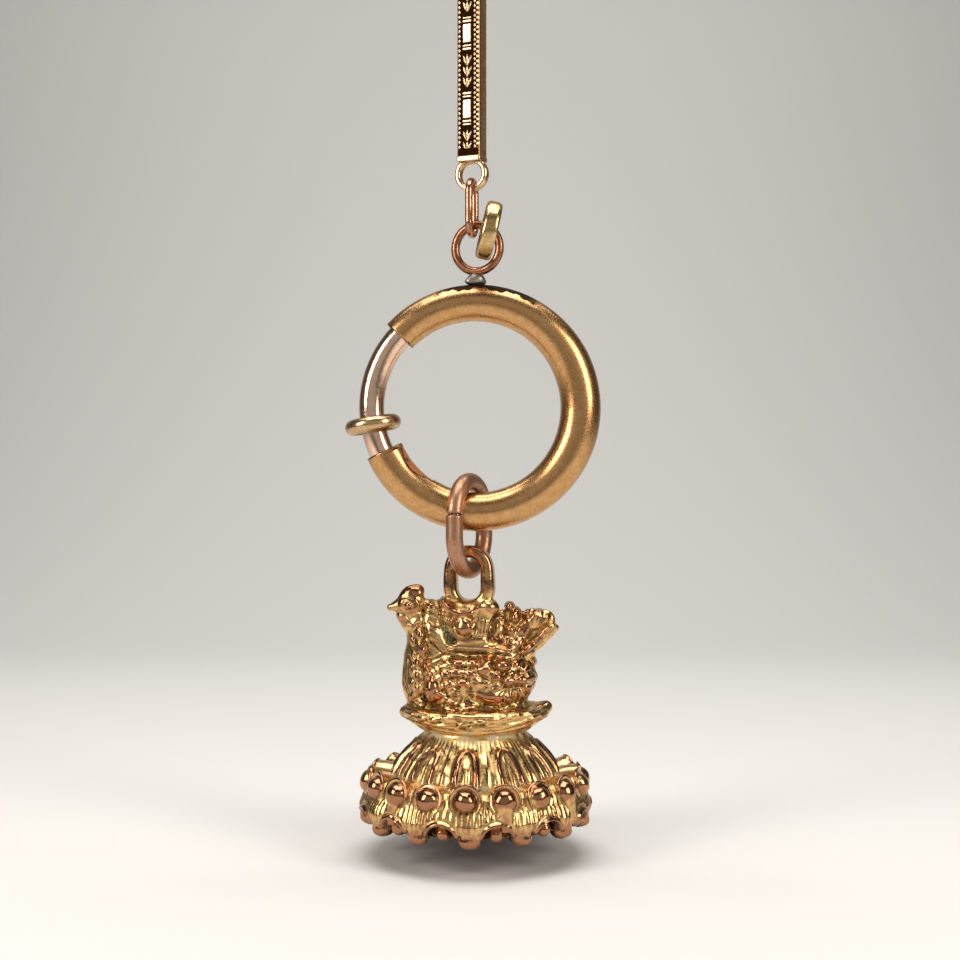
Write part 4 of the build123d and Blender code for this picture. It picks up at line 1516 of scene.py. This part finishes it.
@dataclass(frozen=True)
class SealBird:
    """Bird on its branch, with the pedestal and the loop above it."""

    step: float = 0.08
    low: Point = (-8.0, -4.8, 7.0)
    high: Point = (7.3, 4.8, 23.0)
    fan_at: tuple[float, float] = (3.75, 13.9)
    tip_lift: float = 0.05
    tip_reach: float = 3.3
    tip_half: Point = (0.52, 0.5, 0.42)
    bulge_depth: float = -2.35
    bulge_slant: float = 0.06

    def clay(self) -> Clay:
        """Shape the bird.

        Returns:
            The solid.
        """
        clay = Clay(self.low, self.high, self.step)
        for form in BIRD_FORMS:
            clay.add(*form)
        for turn in FAN_TIPS:
            x, z = self.on_fan(self.tip_reach, np.radians(turn))
            clay.add(Egg((x, 0.0, z + self.tip_lift), self.tip_half, turn), 0.12)
        for x, z, half in FRONT_BULGES:
            clay.add(Egg((x, self.bulge_depth + self.bulge_slant * abs(x), z), half), 0.12, True)
        for form in BRANCH_FORMS:
            clay.add(*form)
        self.carve(Relief(clay))
        clay.uneven(1.5, 0.04, SEED + 1)
        clay.add(LOOP, 0.2)
        clay.uneven(3.0, 0.05, SEED + 3)
        return clay

    def on_fan(self, reach: float, turn: float) -> tuple[float, float]:
        """Return the place across and the height at some reach and turn from the fan's root."""
        return self.fan_at[0] + reach * np.cos(turn), self.fan_at[1] + reach * np.sin(turn)

    def carve(self, relief: Relief) -> None:
        """Draw feathers, scrolls and grain, and press them into the front and back.

        Args:
            relief: The relief that takes them.
        """
        for x, z, across, tall, tilt in WING_SCALES:
            relief.bump(x, z, 1.5 * across, 1.5 * tall, tilt, 0.15 + 0.3 * min(across, tall))
        for x, z, across, tall, tilt in BREAST_FEATHERS:
            relief.bump(x, z, 1.35 * across, 1.3 * tall, tilt, 0.22)
        for x, z, across, tall, tilt in FAN_FEATHERS:
            relief.bump(x, z, 1.2 * across, 1.45 * tall, tilt, 0.42)
        for bump in BUMPS:
            relief.bump(*bump)
        for lines in LINES:
            relief.strokes(*lines)
        # The eye's ring and the groove round the pedestal's ball
        relief.ring(-5.45, 17.75, 0.62, 0.09, -0.06)
        relief.ring(-0.93, 16.06, 0.96, 0.1, -0.13)
        # The mantle's ribs
        for number, level in enumerate(np.arange(14.9, 18.1, 0.3)):
            side = 0.12 * np.sin(number * 2.1)
            relief.stroke(0.1, 0.07, ((-3.9 + side, level + 0.1), (-3.2 + side, level - 0.15)))
        # The fan's grooves along and across
        for turn in np.radians((24, 36, 51, 66)):
            relief.stroke(0.08, -0.16, (self.on_fan(1.2, turn), self.on_fan(4.1, turn)))
        for reach in (2.2, 2.6, 3.0):
            relief.stroke(0.07, 0.1, [self.on_fan(reach, turn) for turn in np.radians((28, 34, 40))])
        # The branch's grain
        for number in range(5):
            low, side = 7.9 + 0.27 * number, 0.1 * np.sin(number * 2.4)
            left = ((-5.8, low + 0.5), (-3.5, low + 0.1 + side), (-0.5, low - 0.2), (2.0, low))
            relief.stroke(0.08, 0.14, left)
            relief.stroke(0.08, 0.13, ((1.5, low - 0.1), (3.8, low + 0.2 + side), (5.9, low + 0.75)))
        relief.apply(0.15, 0.8)

    def skin(self) -> Skin:
        """Mesh the bird, rubbed at its head and loop, with a pale powder at the waist and green in one
        hollow.

        Returns:
            The mesh.
        """
        skin = self.clay().skin()
        x, y, height = skin.points.T
        head = fade(np.hypot(x + 5.6, height - 18.2), 1.7, -0.6) * (x < -4.2)
        loop = fade(height, 18.6, 0.5) * (x > -4)
        tips = fade(np.abs(x), 5.7, 0.3) * (height < 10)
        branch = 1 - 0.45 * fade(height, 9.7, -0.4)
        fan = 1 - 0.3 * fade(x, 2.2, 0.6) * fade(height, 14.2, 0.6)
        wear = skin.values["wear"] * branch * fan + 0.25 * head + 0.1 * loop + 0.15 * tips
        lean = x + 2.25 + 0.35 * (height - 15.5)
        green = ridge(lean, 0.3) * ridge(height - 15.5, 0.8) * (y < 0)
        skin.values["wear"] = np.clip(wear, 0, 1)
        skin.values["grime"] *= fan
        skin.values["dust_and_reflection"] = fade(height, 8.0, -0.5)
        skin.values["green"] = np.clip(2.4 * green - 0.2, 0, 1)
        return skin


@dataclass(frozen=True)
class Seal:
    """The whole seal."""

    base: SealBase = SealBase()
    bird: SealBird = SealBird()

    def build(self) -> None:
        """Build the seal's pieces and give the stone its finish."""
        gold = SEAL_GOLD.build()
        for name, skin in (("seal_base", self.base.skin()), ("seal_bird", self.bird.skin())):
            middle = skin.centres()
            shown = self.base.shown(middle) if name == "seal_base" else np.ones(len(middle), bool)
            for side, half in (("_front", middle[:, 1] <= 0), ("_back", middle[:, 1] > 0)):
                part = skin.part(half & shown).placed(np.eye(3), SEAL_FOOT)
                made = part.to_object(name + side, gold, Body.SEAL)
        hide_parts("seal_body")
        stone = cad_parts["seal_stone"]
        stone.data.materials.clear()
        stone.data.materials.append(PolishedStone().build())


# The bolt ring


@dataclass(frozen=True)
class BoltRing:
    """Tube, eyelet, solder, bolt and collar of the bolt ring."""

    centre: Point = (0.35, 0.0, -37.46)
    radius: float = 8.7
    tube: float = 1.62
    bore: float = 1.14
    mouth: float = 137.0
    lower_end: float = -154.5
    inset: float = 0.3
    rows: int = 340
    columns: int = 108
    rod: float = 1.05
    rod_tip: float = 209.0
    rod_tail: float = 62.0
    rod_rows: int = 220
    rod_columns: int = 48
    collar_angle: float = 189.5
    collar_outer: float = 4.7
    collar_thick: float = 1.3
    eyelet_outer: float = 4.6
    eyelet_wire: float = 0.72
    eyelet_at: Point = (0.45, 0.0, -24.19)
    eyelet_yaw: float = -19.0
    solder_at: Point = (0.0, 0.0, -26.82)
    solder_step: float = 0.06
    seam_reach: float = 34.0
    seam_edge: float = 188.0
    seam_bow: float = 40.0
    seam_foot: float = 158.0
    # The rolled lip's rise from bore to wall, and how far each of its rows is beyond the end
    lip: tuple[float, ...] = (0.0,) * 5 + (0.02, 0.05, 0.1, 0.16, 0.22, 0.26, 0.29) + (0.3,) * 4
    drop: tuple[float, ...] = (3, 2, 1, 0.4, 0.1, 0.04, 0, 0, 0.02, 0.06, 0.12, 0.18, 0.24, 0.3, 0.36, 0.4)
    # The tube's swelling along its run, and how its lower end draws in
    swell_at: tuple[float, ...] = (0, 0.12, 0.25, 0.38, 0.52, 0.66, 0.8, 0.91, 1)
    swell: tuple[float, ...] = (0.9, 0.93, 0.97, 1.03, 1.04, 1.01, 1, 1.02, 1.01)
    inset_at: tuple[float, ...] = (0, 0.8, 0.91, 1)
    inset_share: tuple[float, ...] = (0, 0, 0.5, 1)

    def frame_at(self, angle: Array, radius: Array) -> tuple[Array, Array, Array]:
        """Find places on the ring and the axes across it.

        Args:
            angle: Angles from +X towards +Z.
            radius: Distances from the ring's centre.

        Returns:
            The places, the outward axes and the axes towards the back.
        """
        turn = np.radians(angle)
        outward = np.stack([np.cos(turn), np.zeros_like(turn), np.sin(turn)], -1)
        back = np.tile([0.0, 1.0, 0.0], (len(turn), 1))
        return np.array(self.centre) + outward * np.asarray(radius)[:, None], outward, back

    def tube_skin(self) -> Skin:
        """Mesh the tube, with its bored, rounded ends and its open seam.

        Returns:
            The mesh, scorched around the solder, with painted shade in the bore, a painted shadow along the
            seam's gap, and a painted orange reflection on the strip beside the seam.
        """
        ends = len(self.lip)
        share = np.concatenate([np.zeros(ends), np.linspace(0, 1, self.rows), np.ones(ends)])
        size = self.tube * np.interp(share, self.swell_at, self.swell)
        angle = self.mouth + (self.lower_end - self.mouth) * share
        depth = np.array(self.lip) / self.lip[-1]
        for end, order in ((slice(0, ends), 1), (slice(-ends, None), -1)):
            size[end] = self.bore + (size[end] - self.bore) * depth[::order]
            angle[end] -= order * np.degrees(np.array(self.drop)[::order] / self.radius)
        inset = self.inset * np.interp(share, self.inset_at, self.inset_share)
        path, outward, back = self.frame_at(angle, self.radius - inset)
        ring = circle(self.columns)
        skin = swept(path, outward, back, ring[None] * size[:, None, None], closed=False)
        bored = np.concatenate([depth < 0.4, np.zeros(self.rows, bool), depth[::-1] < 0.4])
        around = np.tile(np.arange(len(ring)) * 360 / len(ring), len(angle))
        gap, strip = self.seam(np.repeat(angle, len(ring)), around)
        # Darkening: the flame's scorch mark, painted shade inside the bored ends, and a painted shadow along
        # the seam's gap
        dirt_and_shade = 0.12 + 3.0 * self.scorch(skin.points) + 2.0 * np.repeat(bored, len(ring)) + 2.0 * gap
        wall = np.repeat(outward, len(ring), 0) * np.tile(ring[:, :1], (len(angle), 1))
        skin.points -= (0.14 * strip + 0.08 * gap)[:, None] * wall
        scatter = np.random.default_rng(SEED).standard_normal(len(skin.points)).astype(np.float32)
        # The strip beside the seam is painted orange as a painted reflection, and made non-metal
        skin.values = {"wear": 0.5 + 0.1 * scatter, "grime": np.clip(dirt_and_shade, 0, 2), "dust_and_reflection": 1.6 * strip}
        return skin

    def scorch(self, points: Array) -> Array:
        """Find where the solderer's flame left its ragged mark on the ring's crown.

        Args:
            points: Places on the tube.

        Returns:
            Shares from 0 to 1.
        """
        side, height = points[:, 0], points[:, 2]
        edge = self.radius + 1.02 + 0.12 * np.sin(2.3 * side) + 0.07 * np.sin(7.1 * side)
        away = np.hypot(side - self.centre[0], height - self.centre[2]) - edge
        return fade(away, 0.0, 0.12) * ridge(side - 1.3, 4.0, 4) * (height > self.centre[2])

    def seam(self, angle: Array, around: Array) -> tuple[Array, Array]:
        """Find the open seam on the inner side of the tube's lower end.

        Args:
            angle: Angles along the ring.
            around: Angles around the tube, from its outer side towards the back.

        Returns:
            The gap, which takes a painted shadow, and the sunken strip beside it, which takes a painted
            orange reflection, as values from 0 to 1.
        """
        along = (angle - self.lower_end) / self.seam_reach
        there = (along > -0.2) & (along < 1)
        edge = self.seam_edge + self.seam_bow * np.sin(np.pi * np.clip(along, 0.04, 1)) ** 0.8
        strip = fade(around - edge, 0.0, -6.0) * fade(around, self.seam_foot, 12.0)
        return ridge(around - edge, 5.0) * there, strip * there

    def rod_skin(self) -> Skin:
        """Mesh the bolt's rod, with its rounded tips.

        Returns:
            The rod's skin.
        """
        angle = np.linspace(self.rod_tail, self.rod_tip, self.rod_rows)
        path, outward, back = self.frame_at(angle, np.full(len(angle), self.radius))
        size = np.full(len(angle), self.rod)
        tip = np.array((0.0, 0.6, 0.85, 1.0))
        size[: len(tip)], size[-len(tip) :] = tip, tip[::-1]
        return swept(path, outward, back, circle(self.rod_columns)[None] * size[:, None, None], closed=False)

    def solder_skin(self) -> Skin:
        """Mesh the lump of solder between the tube and the eyelet.

        Returns:
            The lump's skin.
        """
        clay = Clay((-1.2, -1.2, -0.9), (1.9, 1.2, 0.9), self.solder_step)
        for lump in (
            Egg((0.35, 0, 0), (0.75, 0.65, 0.56)),
            Egg((-0.15, -0.2, -0.15), (0.45, 0.4, 0.3)),
            Egg((0.8, 0.1, -0.2), (0.4, 0.4, 0.25)),
        ):
            clay.add(lump, 0.2)
        return clay.skin().placed(np.eye(3), self.solder_at)

    def collar_skin(self) -> Skin:
        """Mesh the thumb collar: a thick rounded disc with a raised hub.

        Returns:
            The collar's skin.
        """
        half, outer = self.collar_thick / 2, self.collar_outer / 2
        turns = np.linspace(-np.pi / 2, np.pi / 2, 17)[1:-1]
        rim = [(outer - half + half * np.cos(t), half * np.sin(t)) for t in turns]
        hub = [(self.rod, -0.45), (1.35, -0.5), (1.5, -0.34), (1.62, -0.62)]
        line = np.array([*hub, *rim, *[(out, -along) for out, along in hub[::-1]]])
        path, outward, back = self.frame_at(np.array([self.collar_angle]), np.array([self.radius]))
        axes = (outward[0], back[0], np.cross(outward[0], back[0]))
        skin = turned(line, path[0], axes, 96, closed=False)
        skin.values["wear"] = np.tile(fade(line[:, 0], 1.6, 0.7), 96)
        return skin.filled(grime=0.4)

    def build(self) -> None:
        """Build the ring's pieces."""
        tube = self.tube_skin().to_object("ring_tube", RING_GOLD.build(), Body.HANGER)
        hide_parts("bolt_ring_body")
        eyelet = Wire(self.eyelet_outer, self.eyelet_outer, self.eyelet_wire).skin().filled(wear=0.5)
        eyelet = eyelet.placed(facing(self.eyelet_yaw), self.eyelet_at)
        eyelet.to_object("ring_eyelet", EYELET_COPPER.build(), Body.HANGER)
        self.solder_skin().to_object("ring_solder", SOLDER.build(), Body.HANGER)
        rod = self.rod_skin().filled(wear=0.6, grime=0.15)
        bolt = rod.to_object("bolt_rod", BOLT_GOLD.build(), Body.BOLT)
        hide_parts("ring_bolt")
        self.collar_skin().to_object("bolt_collar", COLLAR_GOLD.build(), Body.BOLT)


# Links


@dataclass(frozen=True)
class Wire:
    """A closed link of round wire, long side up, in its own upright plane."""

    length: float
    width: float
    wire: float
    rows: int = 240
    columns: int = 40
    seam: float | None = None
    seam_half: float = 0.09
    seam_depth: float = 0.16

    def skin(self) -> Skin:
        """Mesh the link about its own centre, with its right, up and near axes.

        Returns:
            The link's skin, still to be placed.
        """
        bend, straight = (self.width - self.wire) / 2, self.length - self.width
        arc = np.pi * bend
        run = np.linspace(0, 2 * (arc + straight), self.rows, endpoint=False)
        turn = (np.clip(run, 0, arc) + np.clip(run - arc - straight, 0, arc)) / bend
        back = np.clip(run - 2 * arc - straight, 0, straight)
        rise = straight / 2 - np.clip(run - arc, 0, straight) + back
        away = np.stack([np.cos(turn), np.sin(turn), np.zeros(self.rows)], -1)
        near = np.tile([0.0, 0.0, 1.0], (self.rows, 1))
        groove = np.zeros(self.rows) if self.seam is None else ridge(run - arc + self.seam, self.seam_half, 4)
        profile = circle(self.columns)[None] * (self.wire / 2 - self.seam_depth * groove)[:, None, None]
        skin = swept(away * bend + np.outer(rise, (0, 1, 0)), away, near, profile, closed=True)
        skin.values["grime"] = np.repeat(0.25 + 1.75 * groove, self.columns)
        return skin


@dataclass(frozen=True)
class Links:
    """The small link, the split link and the band ring."""

    small: Wire = Wire(5.05, 2.7, 0.62)
    small_at: Point = (0.0, 0.0, -20.845)
    small_yaw: float = 76.0
    split: Wire = Wire(8.83, 7.4, 1.42, 340, 44, 0.285)
    split_at: Point = (-0.2, 0.0, -47.315)
    split_yaw: float = 66.0
    band_at: Point = (1.4, -1.61, -22.99)
    band_yaw: float = 4.0
    band_lean: float = -13.0
    band_outer: float = 4.85
    band_width: float = 1.27
    band_wall: float = 0.36

    def build(self) -> None:
        """Build the links."""
        small = self.small.skin().filled(wear=0.6).placed(facing(self.small_yaw), self.small_at)
        made = small.to_object("small_link_wire", LINK_COPPER.build(), Body.HANGER)
        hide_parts("small_link")
        split = self.split.skin().filled(wear=0.45).placed(facing(self.split_yaw), self.split_at)
        made = split.to_object("split_link_wire", SPLIT_COPPER.build(), Body.LINK)
        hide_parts("split_link")
        made = self.band().to_object("band_strip", BAND_GOLD.build(), Body.HANGER)
        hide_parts("band_ring")

    def band(self) -> Skin:
        """Mesh the band ring, leaning on the eyelet, with its edges rubbed.

        Returns:
            The ring's skin.
        """
        inner, half = self.band_outer / 2 - self.band_wall, self.band_width / 2
        side = np.linspace(-1, 1, 19)
        crown = np.stack([inner + self.band_wall * (0.45 + 0.55 * (1 - side**4)), side * half], -1)
        inside = np.stack([np.full(9, inner), np.linspace(half, -half, 9)], -1)
        right, up, near = facing(self.band_yaw).T
        lean = np.radians(self.band_lean)
        axes = (up * np.cos(lean) - right * np.sin(lean), near, right * np.cos(lean) + up * np.sin(lean))
        skin = turned(np.concatenate([crown, inside]), self.band_at, axes, 160)
        skin.values["wear"] = np.tile(np.concatenate([0.5 + 0.5 * side**8, np.full(9, 0.2)]), 160)
        return skin.filled(grime=0.3)


# The chain bar


@dataclass(frozen=True)
class ChainBar:
    """Engraved bar with a loop at each end."""

    length: float = 15.0
    width: float = 2.0
    depth: float = 1.6
    bevel: float = 0.1
    yaw: float = -23.0
    middle: float = -9.5
    rows: int = 360
    cap: float = 1.0
    engraving: float = 0.12
    bead_pitch: float = 0.4
    side_bead: float = 0.05
    side_half: float = 0.5
    rise: float = 0.06
    lip: float = 0.4
    slope: float = 0.05
    # Bead rows by place across and shift along, then the heights of panels, sprigs and tiers of leaves
    rails: tuple[tuple[float, float], ...] = ((-0.78, 0.0), (0.6, 0.0), (0.83, 0.5))
    panels: tuple[float, ...] = (-3.25, 3.0)
    sprigs: tuple[float, ...] = (-6.375, -0.125, 6.125)
    tiers: tuple[float, ...] = (-1.35, -0.45, 0.45)
    sprig_at: float = -0.08
    leaf_lean: float = 24.0
    loop: Loop = Loop((0, 0, 0), 0, 1.9, 0, 0.5, 0.8, 0.2)
    loop_lift: float = 1.05

    def height(self, across: Array, up: Array) -> Array:
        """Engrave the front.

        Args:
            across: Places across the face, from its middle.
            up: Places along the bar, from its middle.

        Returns:
            How far the pattern stands out.
        """
        value = np.zeros(np.broadcast(across, up).shape)
        for rail, shift in self.rails:
            along = (up / self.bead_pitch + shift + 0.5) % 1 - 0.5
            bead = 1 - ((across - rail) / 0.11) ** 2 - (along / 0.35) ** 2
            value = np.maximum(value, np.sqrt(np.clip(bead, 0, 1)))
        side = np.abs(across - self.sprig_at)
        for centre in self.panels:
            off = np.abs(up - centre)
            value = np.maximum(value, (side < 0.33) & (off < 0.75))
            value = np.maximum(value, 0.8 * ((side < 0.38) & (np.abs(np.abs(off - 1.15) - 0.14) < 0.07)))
        lean = np.radians(self.leaf_lean)
        for tip in np.add.outer(self.sprigs, self.tiers).ravel():
            rise = up - tip
            along = rise * np.cos(lean) + side * np.sin(lean)
            off = side * np.cos(lean) - rise * np.sin(lean)
            leaf = 1 - (off / 0.11) ** 2 - ((along - 0.46) / 0.46) ** 2
            middle = 1 - (side / 0.08) ** 2 - ((rise - 0.6) / 0.36) ** 2
            value = np.maximum(value, np.sqrt(np.clip(np.maximum(leaf, middle), 0, 1)) * (side < 0.42))
        return self.engraving * value

    def outline(self) -> tuple[Array, ...]:
        """Draw the bar's outline with its bevelled corners.

        Returns:
            For each point its place, outward direction and place across its face, and whether that face is
            engraved or beaded.
        """
        faces = ((self.width / 2, self.depth / 2, 56), (self.depth / 2, self.width / 2, 16))
        line, outward, across, kind = [], [], [], []
        for index, (half, flat, count) in enumerate(faces * 2):
            turn = index * np.pi / 2
            axis, out = np.round([(np.cos(turn), np.sin(turn)), (np.sin(turn), -np.cos(turn))])
            run = np.linspace(-half + self.bevel, half - self.bevel, count)
            corner = np.linspace(0, np.pi / 2, 5)[1:-1]
            middle = axis * run[-1] + out * (flat - self.bevel)
            line += [axis * r + out * flat for r in run]
            line += [middle + self.bevel * (out * np.cos(c) + axis * np.sin(c)) for c in corner]
            outward += [out] * count + [0.7 * (out + axis)] * len(corner)
            across += [*run, *np.zeros(len(corner))]
            kind += [index % 2] * count + [-1] * len(corner)
        kind = np.array(kind)
        return np.array(line), np.array(outward), np.array(across), kind == 0, kind == 1

    def skin(self) -> Skin:
        """Mesh the shaft, with its pattern bright and the ground between it dark with dirt and painted shade.

        Returns:
            The shaft's skin.
        """
        line, outward, across, engraved, beaded = self.outline()
        up = np.linspace(-self.length / 2, self.length / 2, self.rows)[:, None]
        beads = self.side_bead * np.abs(np.cos(np.pi * up / self.bead_pitch))
        beaded = beaded & (np.abs(across) < self.side_half)
        relief = self.height(across[None, :], up) * engraved + beads * beaded
        end = np.abs(up) - self.length / 2
        lip = self.rise * fade(end, -self.lip, self.slope)
        relief = relief * (1 - fade(end, -self.cap, self.slope)) + lip
        flat = line[None] + outward[None] * relief[..., None]
        right, along, near = facing(self.yaw).T
        points = right * flat[..., :1] - near * flat[..., 1:] + along * up[..., None] + (0, 0, self.middle)
        skin = Skin(points.reshape(-1, 3), grid_faces(self.rows, len(line)))
        high = np.clip(relief / self.engraving * 1.6, 0, 1)
        plain = ~engraved & (relief <= self.rise)
        skin.values["wear"] = np.where(plain, 0.35, high).reshape(-1)
        # The engraved ground takes dirt and painted shade
        skin.values["grime"] = np.where(plain, 0.1, 1.2 * (1 - high)).reshape(-1)
        return skin

    def ends(self) -> Skin:
        """Mesh the two end loops and the caps that close the bar.

        Returns:
            The skin of both ends together.
        """
        right, along, near = facing(self.yaw).T
        parts = []
        for side in (1, -1):
            clay = Clay((-1.6, -1.1, -1.7), (1.6, 1.1, 1.7), 0.06)
            clay.add(self.loop, 0.05)
            clay.add(Block((0, 0, -side * 1.2), (1.05, 0.85, 0.17), 0.08), 0.08)
            origin = (0, 0, self.middle + side * (self.length / 2 + self.loop_lift))
            parts.append(clay.skin().placed(np.array([right, -near, along]).T, origin))
        return parts[0].joined(parts[1])

    def build(self) -> None:
        """Build the bar."""
        gold = BAR_GOLD.build()
        made = self.skin().to_object("bar_shaft", gold, Body.HANGER)
        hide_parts("chain_bar")
        self.ends().to_object("bar_ends", gold, Body.HANGER)


# Studio


@dataclass(frozen=True)
class SoftBox:
    """A rectangular light, by its place, size, power, tint and aim."""

    name: str
    place: Point
    size: tuple[float, float]
    power: float
    tint: str
    aim: Point = (0, 0, -45.0)

    def build(self) -> None:
        """Add the light."""
        light = bpy.data.lights.new(self.name, "AREA")
        light.shape = "RECTANGLE"
        light.size, light.size_y = self.size[0] * MM, self.size[1] * MM
        light.energy = self.power
        light.color = linear(self.tint)[:3]
        lamp = bpy.data.objects.new(self.name, light)
        lamp.location = Vector(self.place) * MM
        lamp.rotation_euler = (Vector(self.aim) * MM - lamp.location).to_track_quat("-Z", "Y").to_euler()
        bpy.context.scene.collection.objects.link(lamp)


@dataclass(frozen=True)
class Studio:
    """Camera, pale floor and soft light."""

    camera_at: Point = (0.67, -120.0, -43.5)
    seen_half: float = 40.0
    clip_start: float = 0.01
    floor: float = -74.5
    wide: float = 700.0
    front: float = -420.0
    back: float = 300.0
    bend: float = 160.0
    tall: float = 700.0
    sky: str = "#96938e"
    sky_strength: float = 0.22
    boxes: tuple[SoftBox, ...] = (
        SoftBox("left", (-132, -86, 22), (65, 100), 0.17, "#fff8f0"),
        SoftBox("right", (128, -90, 18), (60, 100), 0.15, "#fff8f0"),
        SoftBox("top", (0, -10, 140), (170, 130), 0.34, "#ffffff"),
        SoftBox("front", (0, -210, 30), (300, 160), 0.055, "#fffaf4"),
        SoftBox("wall", (0, 70, 170), (300, 60), 0.3, "#ffffff", (0, 300, -20)),
    )

    def build(self) -> None:
        """Build the studio."""
        scene = bpy.context.scene
        camera = bpy.data.objects.new("camera", bpy.data.cameras.new("camera"))
        scene.collection.objects.link(camera)
        camera.data.angle = 2 * np.arctan(self.seen_half / -self.camera_at[1])
        camera.data.clip_start = self.clip_start
        camera.location = Vector(self.camera_at) * MM
        camera.rotation_euler = (np.pi / 2, 0, 0)
        scene.camera = camera
        self.backdrop()
        for box in self.boxes:
            box.build()
        world = bpy.data.worlds.new("world")
        world.use_nodes = True
        background = world.node_tree.nodes["Background"]
        background.inputs["Color"].default_value = linear(self.sky)
        background.inputs["Strength"].default_value = self.sky_strength
        scene.world = world
        scene.view_settings.view_transform = "Standard"

    def backdrop(self) -> None:
        """Build the floor, which curves up into the wall behind."""
        foot = self.back - self.bend
        turns = np.linspace(0, np.pi / 2, 24)[1:]
        curve = [(foot + self.bend * np.sin(t), self.floor + self.bend * (1 - np.cos(t))) for t in turns]
        line = [(self.front, self.floor), (foot, self.floor), *curve, (self.back, self.floor + self.tall)]
        points = [(x * MM, y * MM, z * MM) for y, z in line for x in (-self.wide, self.wide)]
        faces = [(2 * i, 2 * i + 1, 2 * i + 3, 2 * i + 2) for i in range(len(line) - 1)]
        mesh = bpy.data.meshes.new("backdrop")
        mesh.from_pydata(points, [], faces)
        mesh.polygons.foreach_set("use_smooth", [True] * len(faces))
        # Sheet of matt paper, nearly without a sheen
        inputs = {"Base Color": linear("#dcdad6"), "Roughness": 0.9, "Specular IOR Level": 0.1}
        mesh.materials.append(new_material("plain_paper", (), inputs))
        floor = bpy.data.objects.new("backdrop", mesh)
        bpy.context.scene.collection.objects.link(floor)
        floor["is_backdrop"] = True


def corners() -> list[list[float]]:
    """Return the lowest and highest corner of the shown object as plain lists."""
    return [[float(c) for c in corner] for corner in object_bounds()]


def main() -> None:
    """Build the scene, piece by piece from the top."""
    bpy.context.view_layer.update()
    ChainBar().build()
    Links().build()
    BoltRing().build()
    Seal().build()
    Studio().build()


if __name__ == "__main__":
    main()
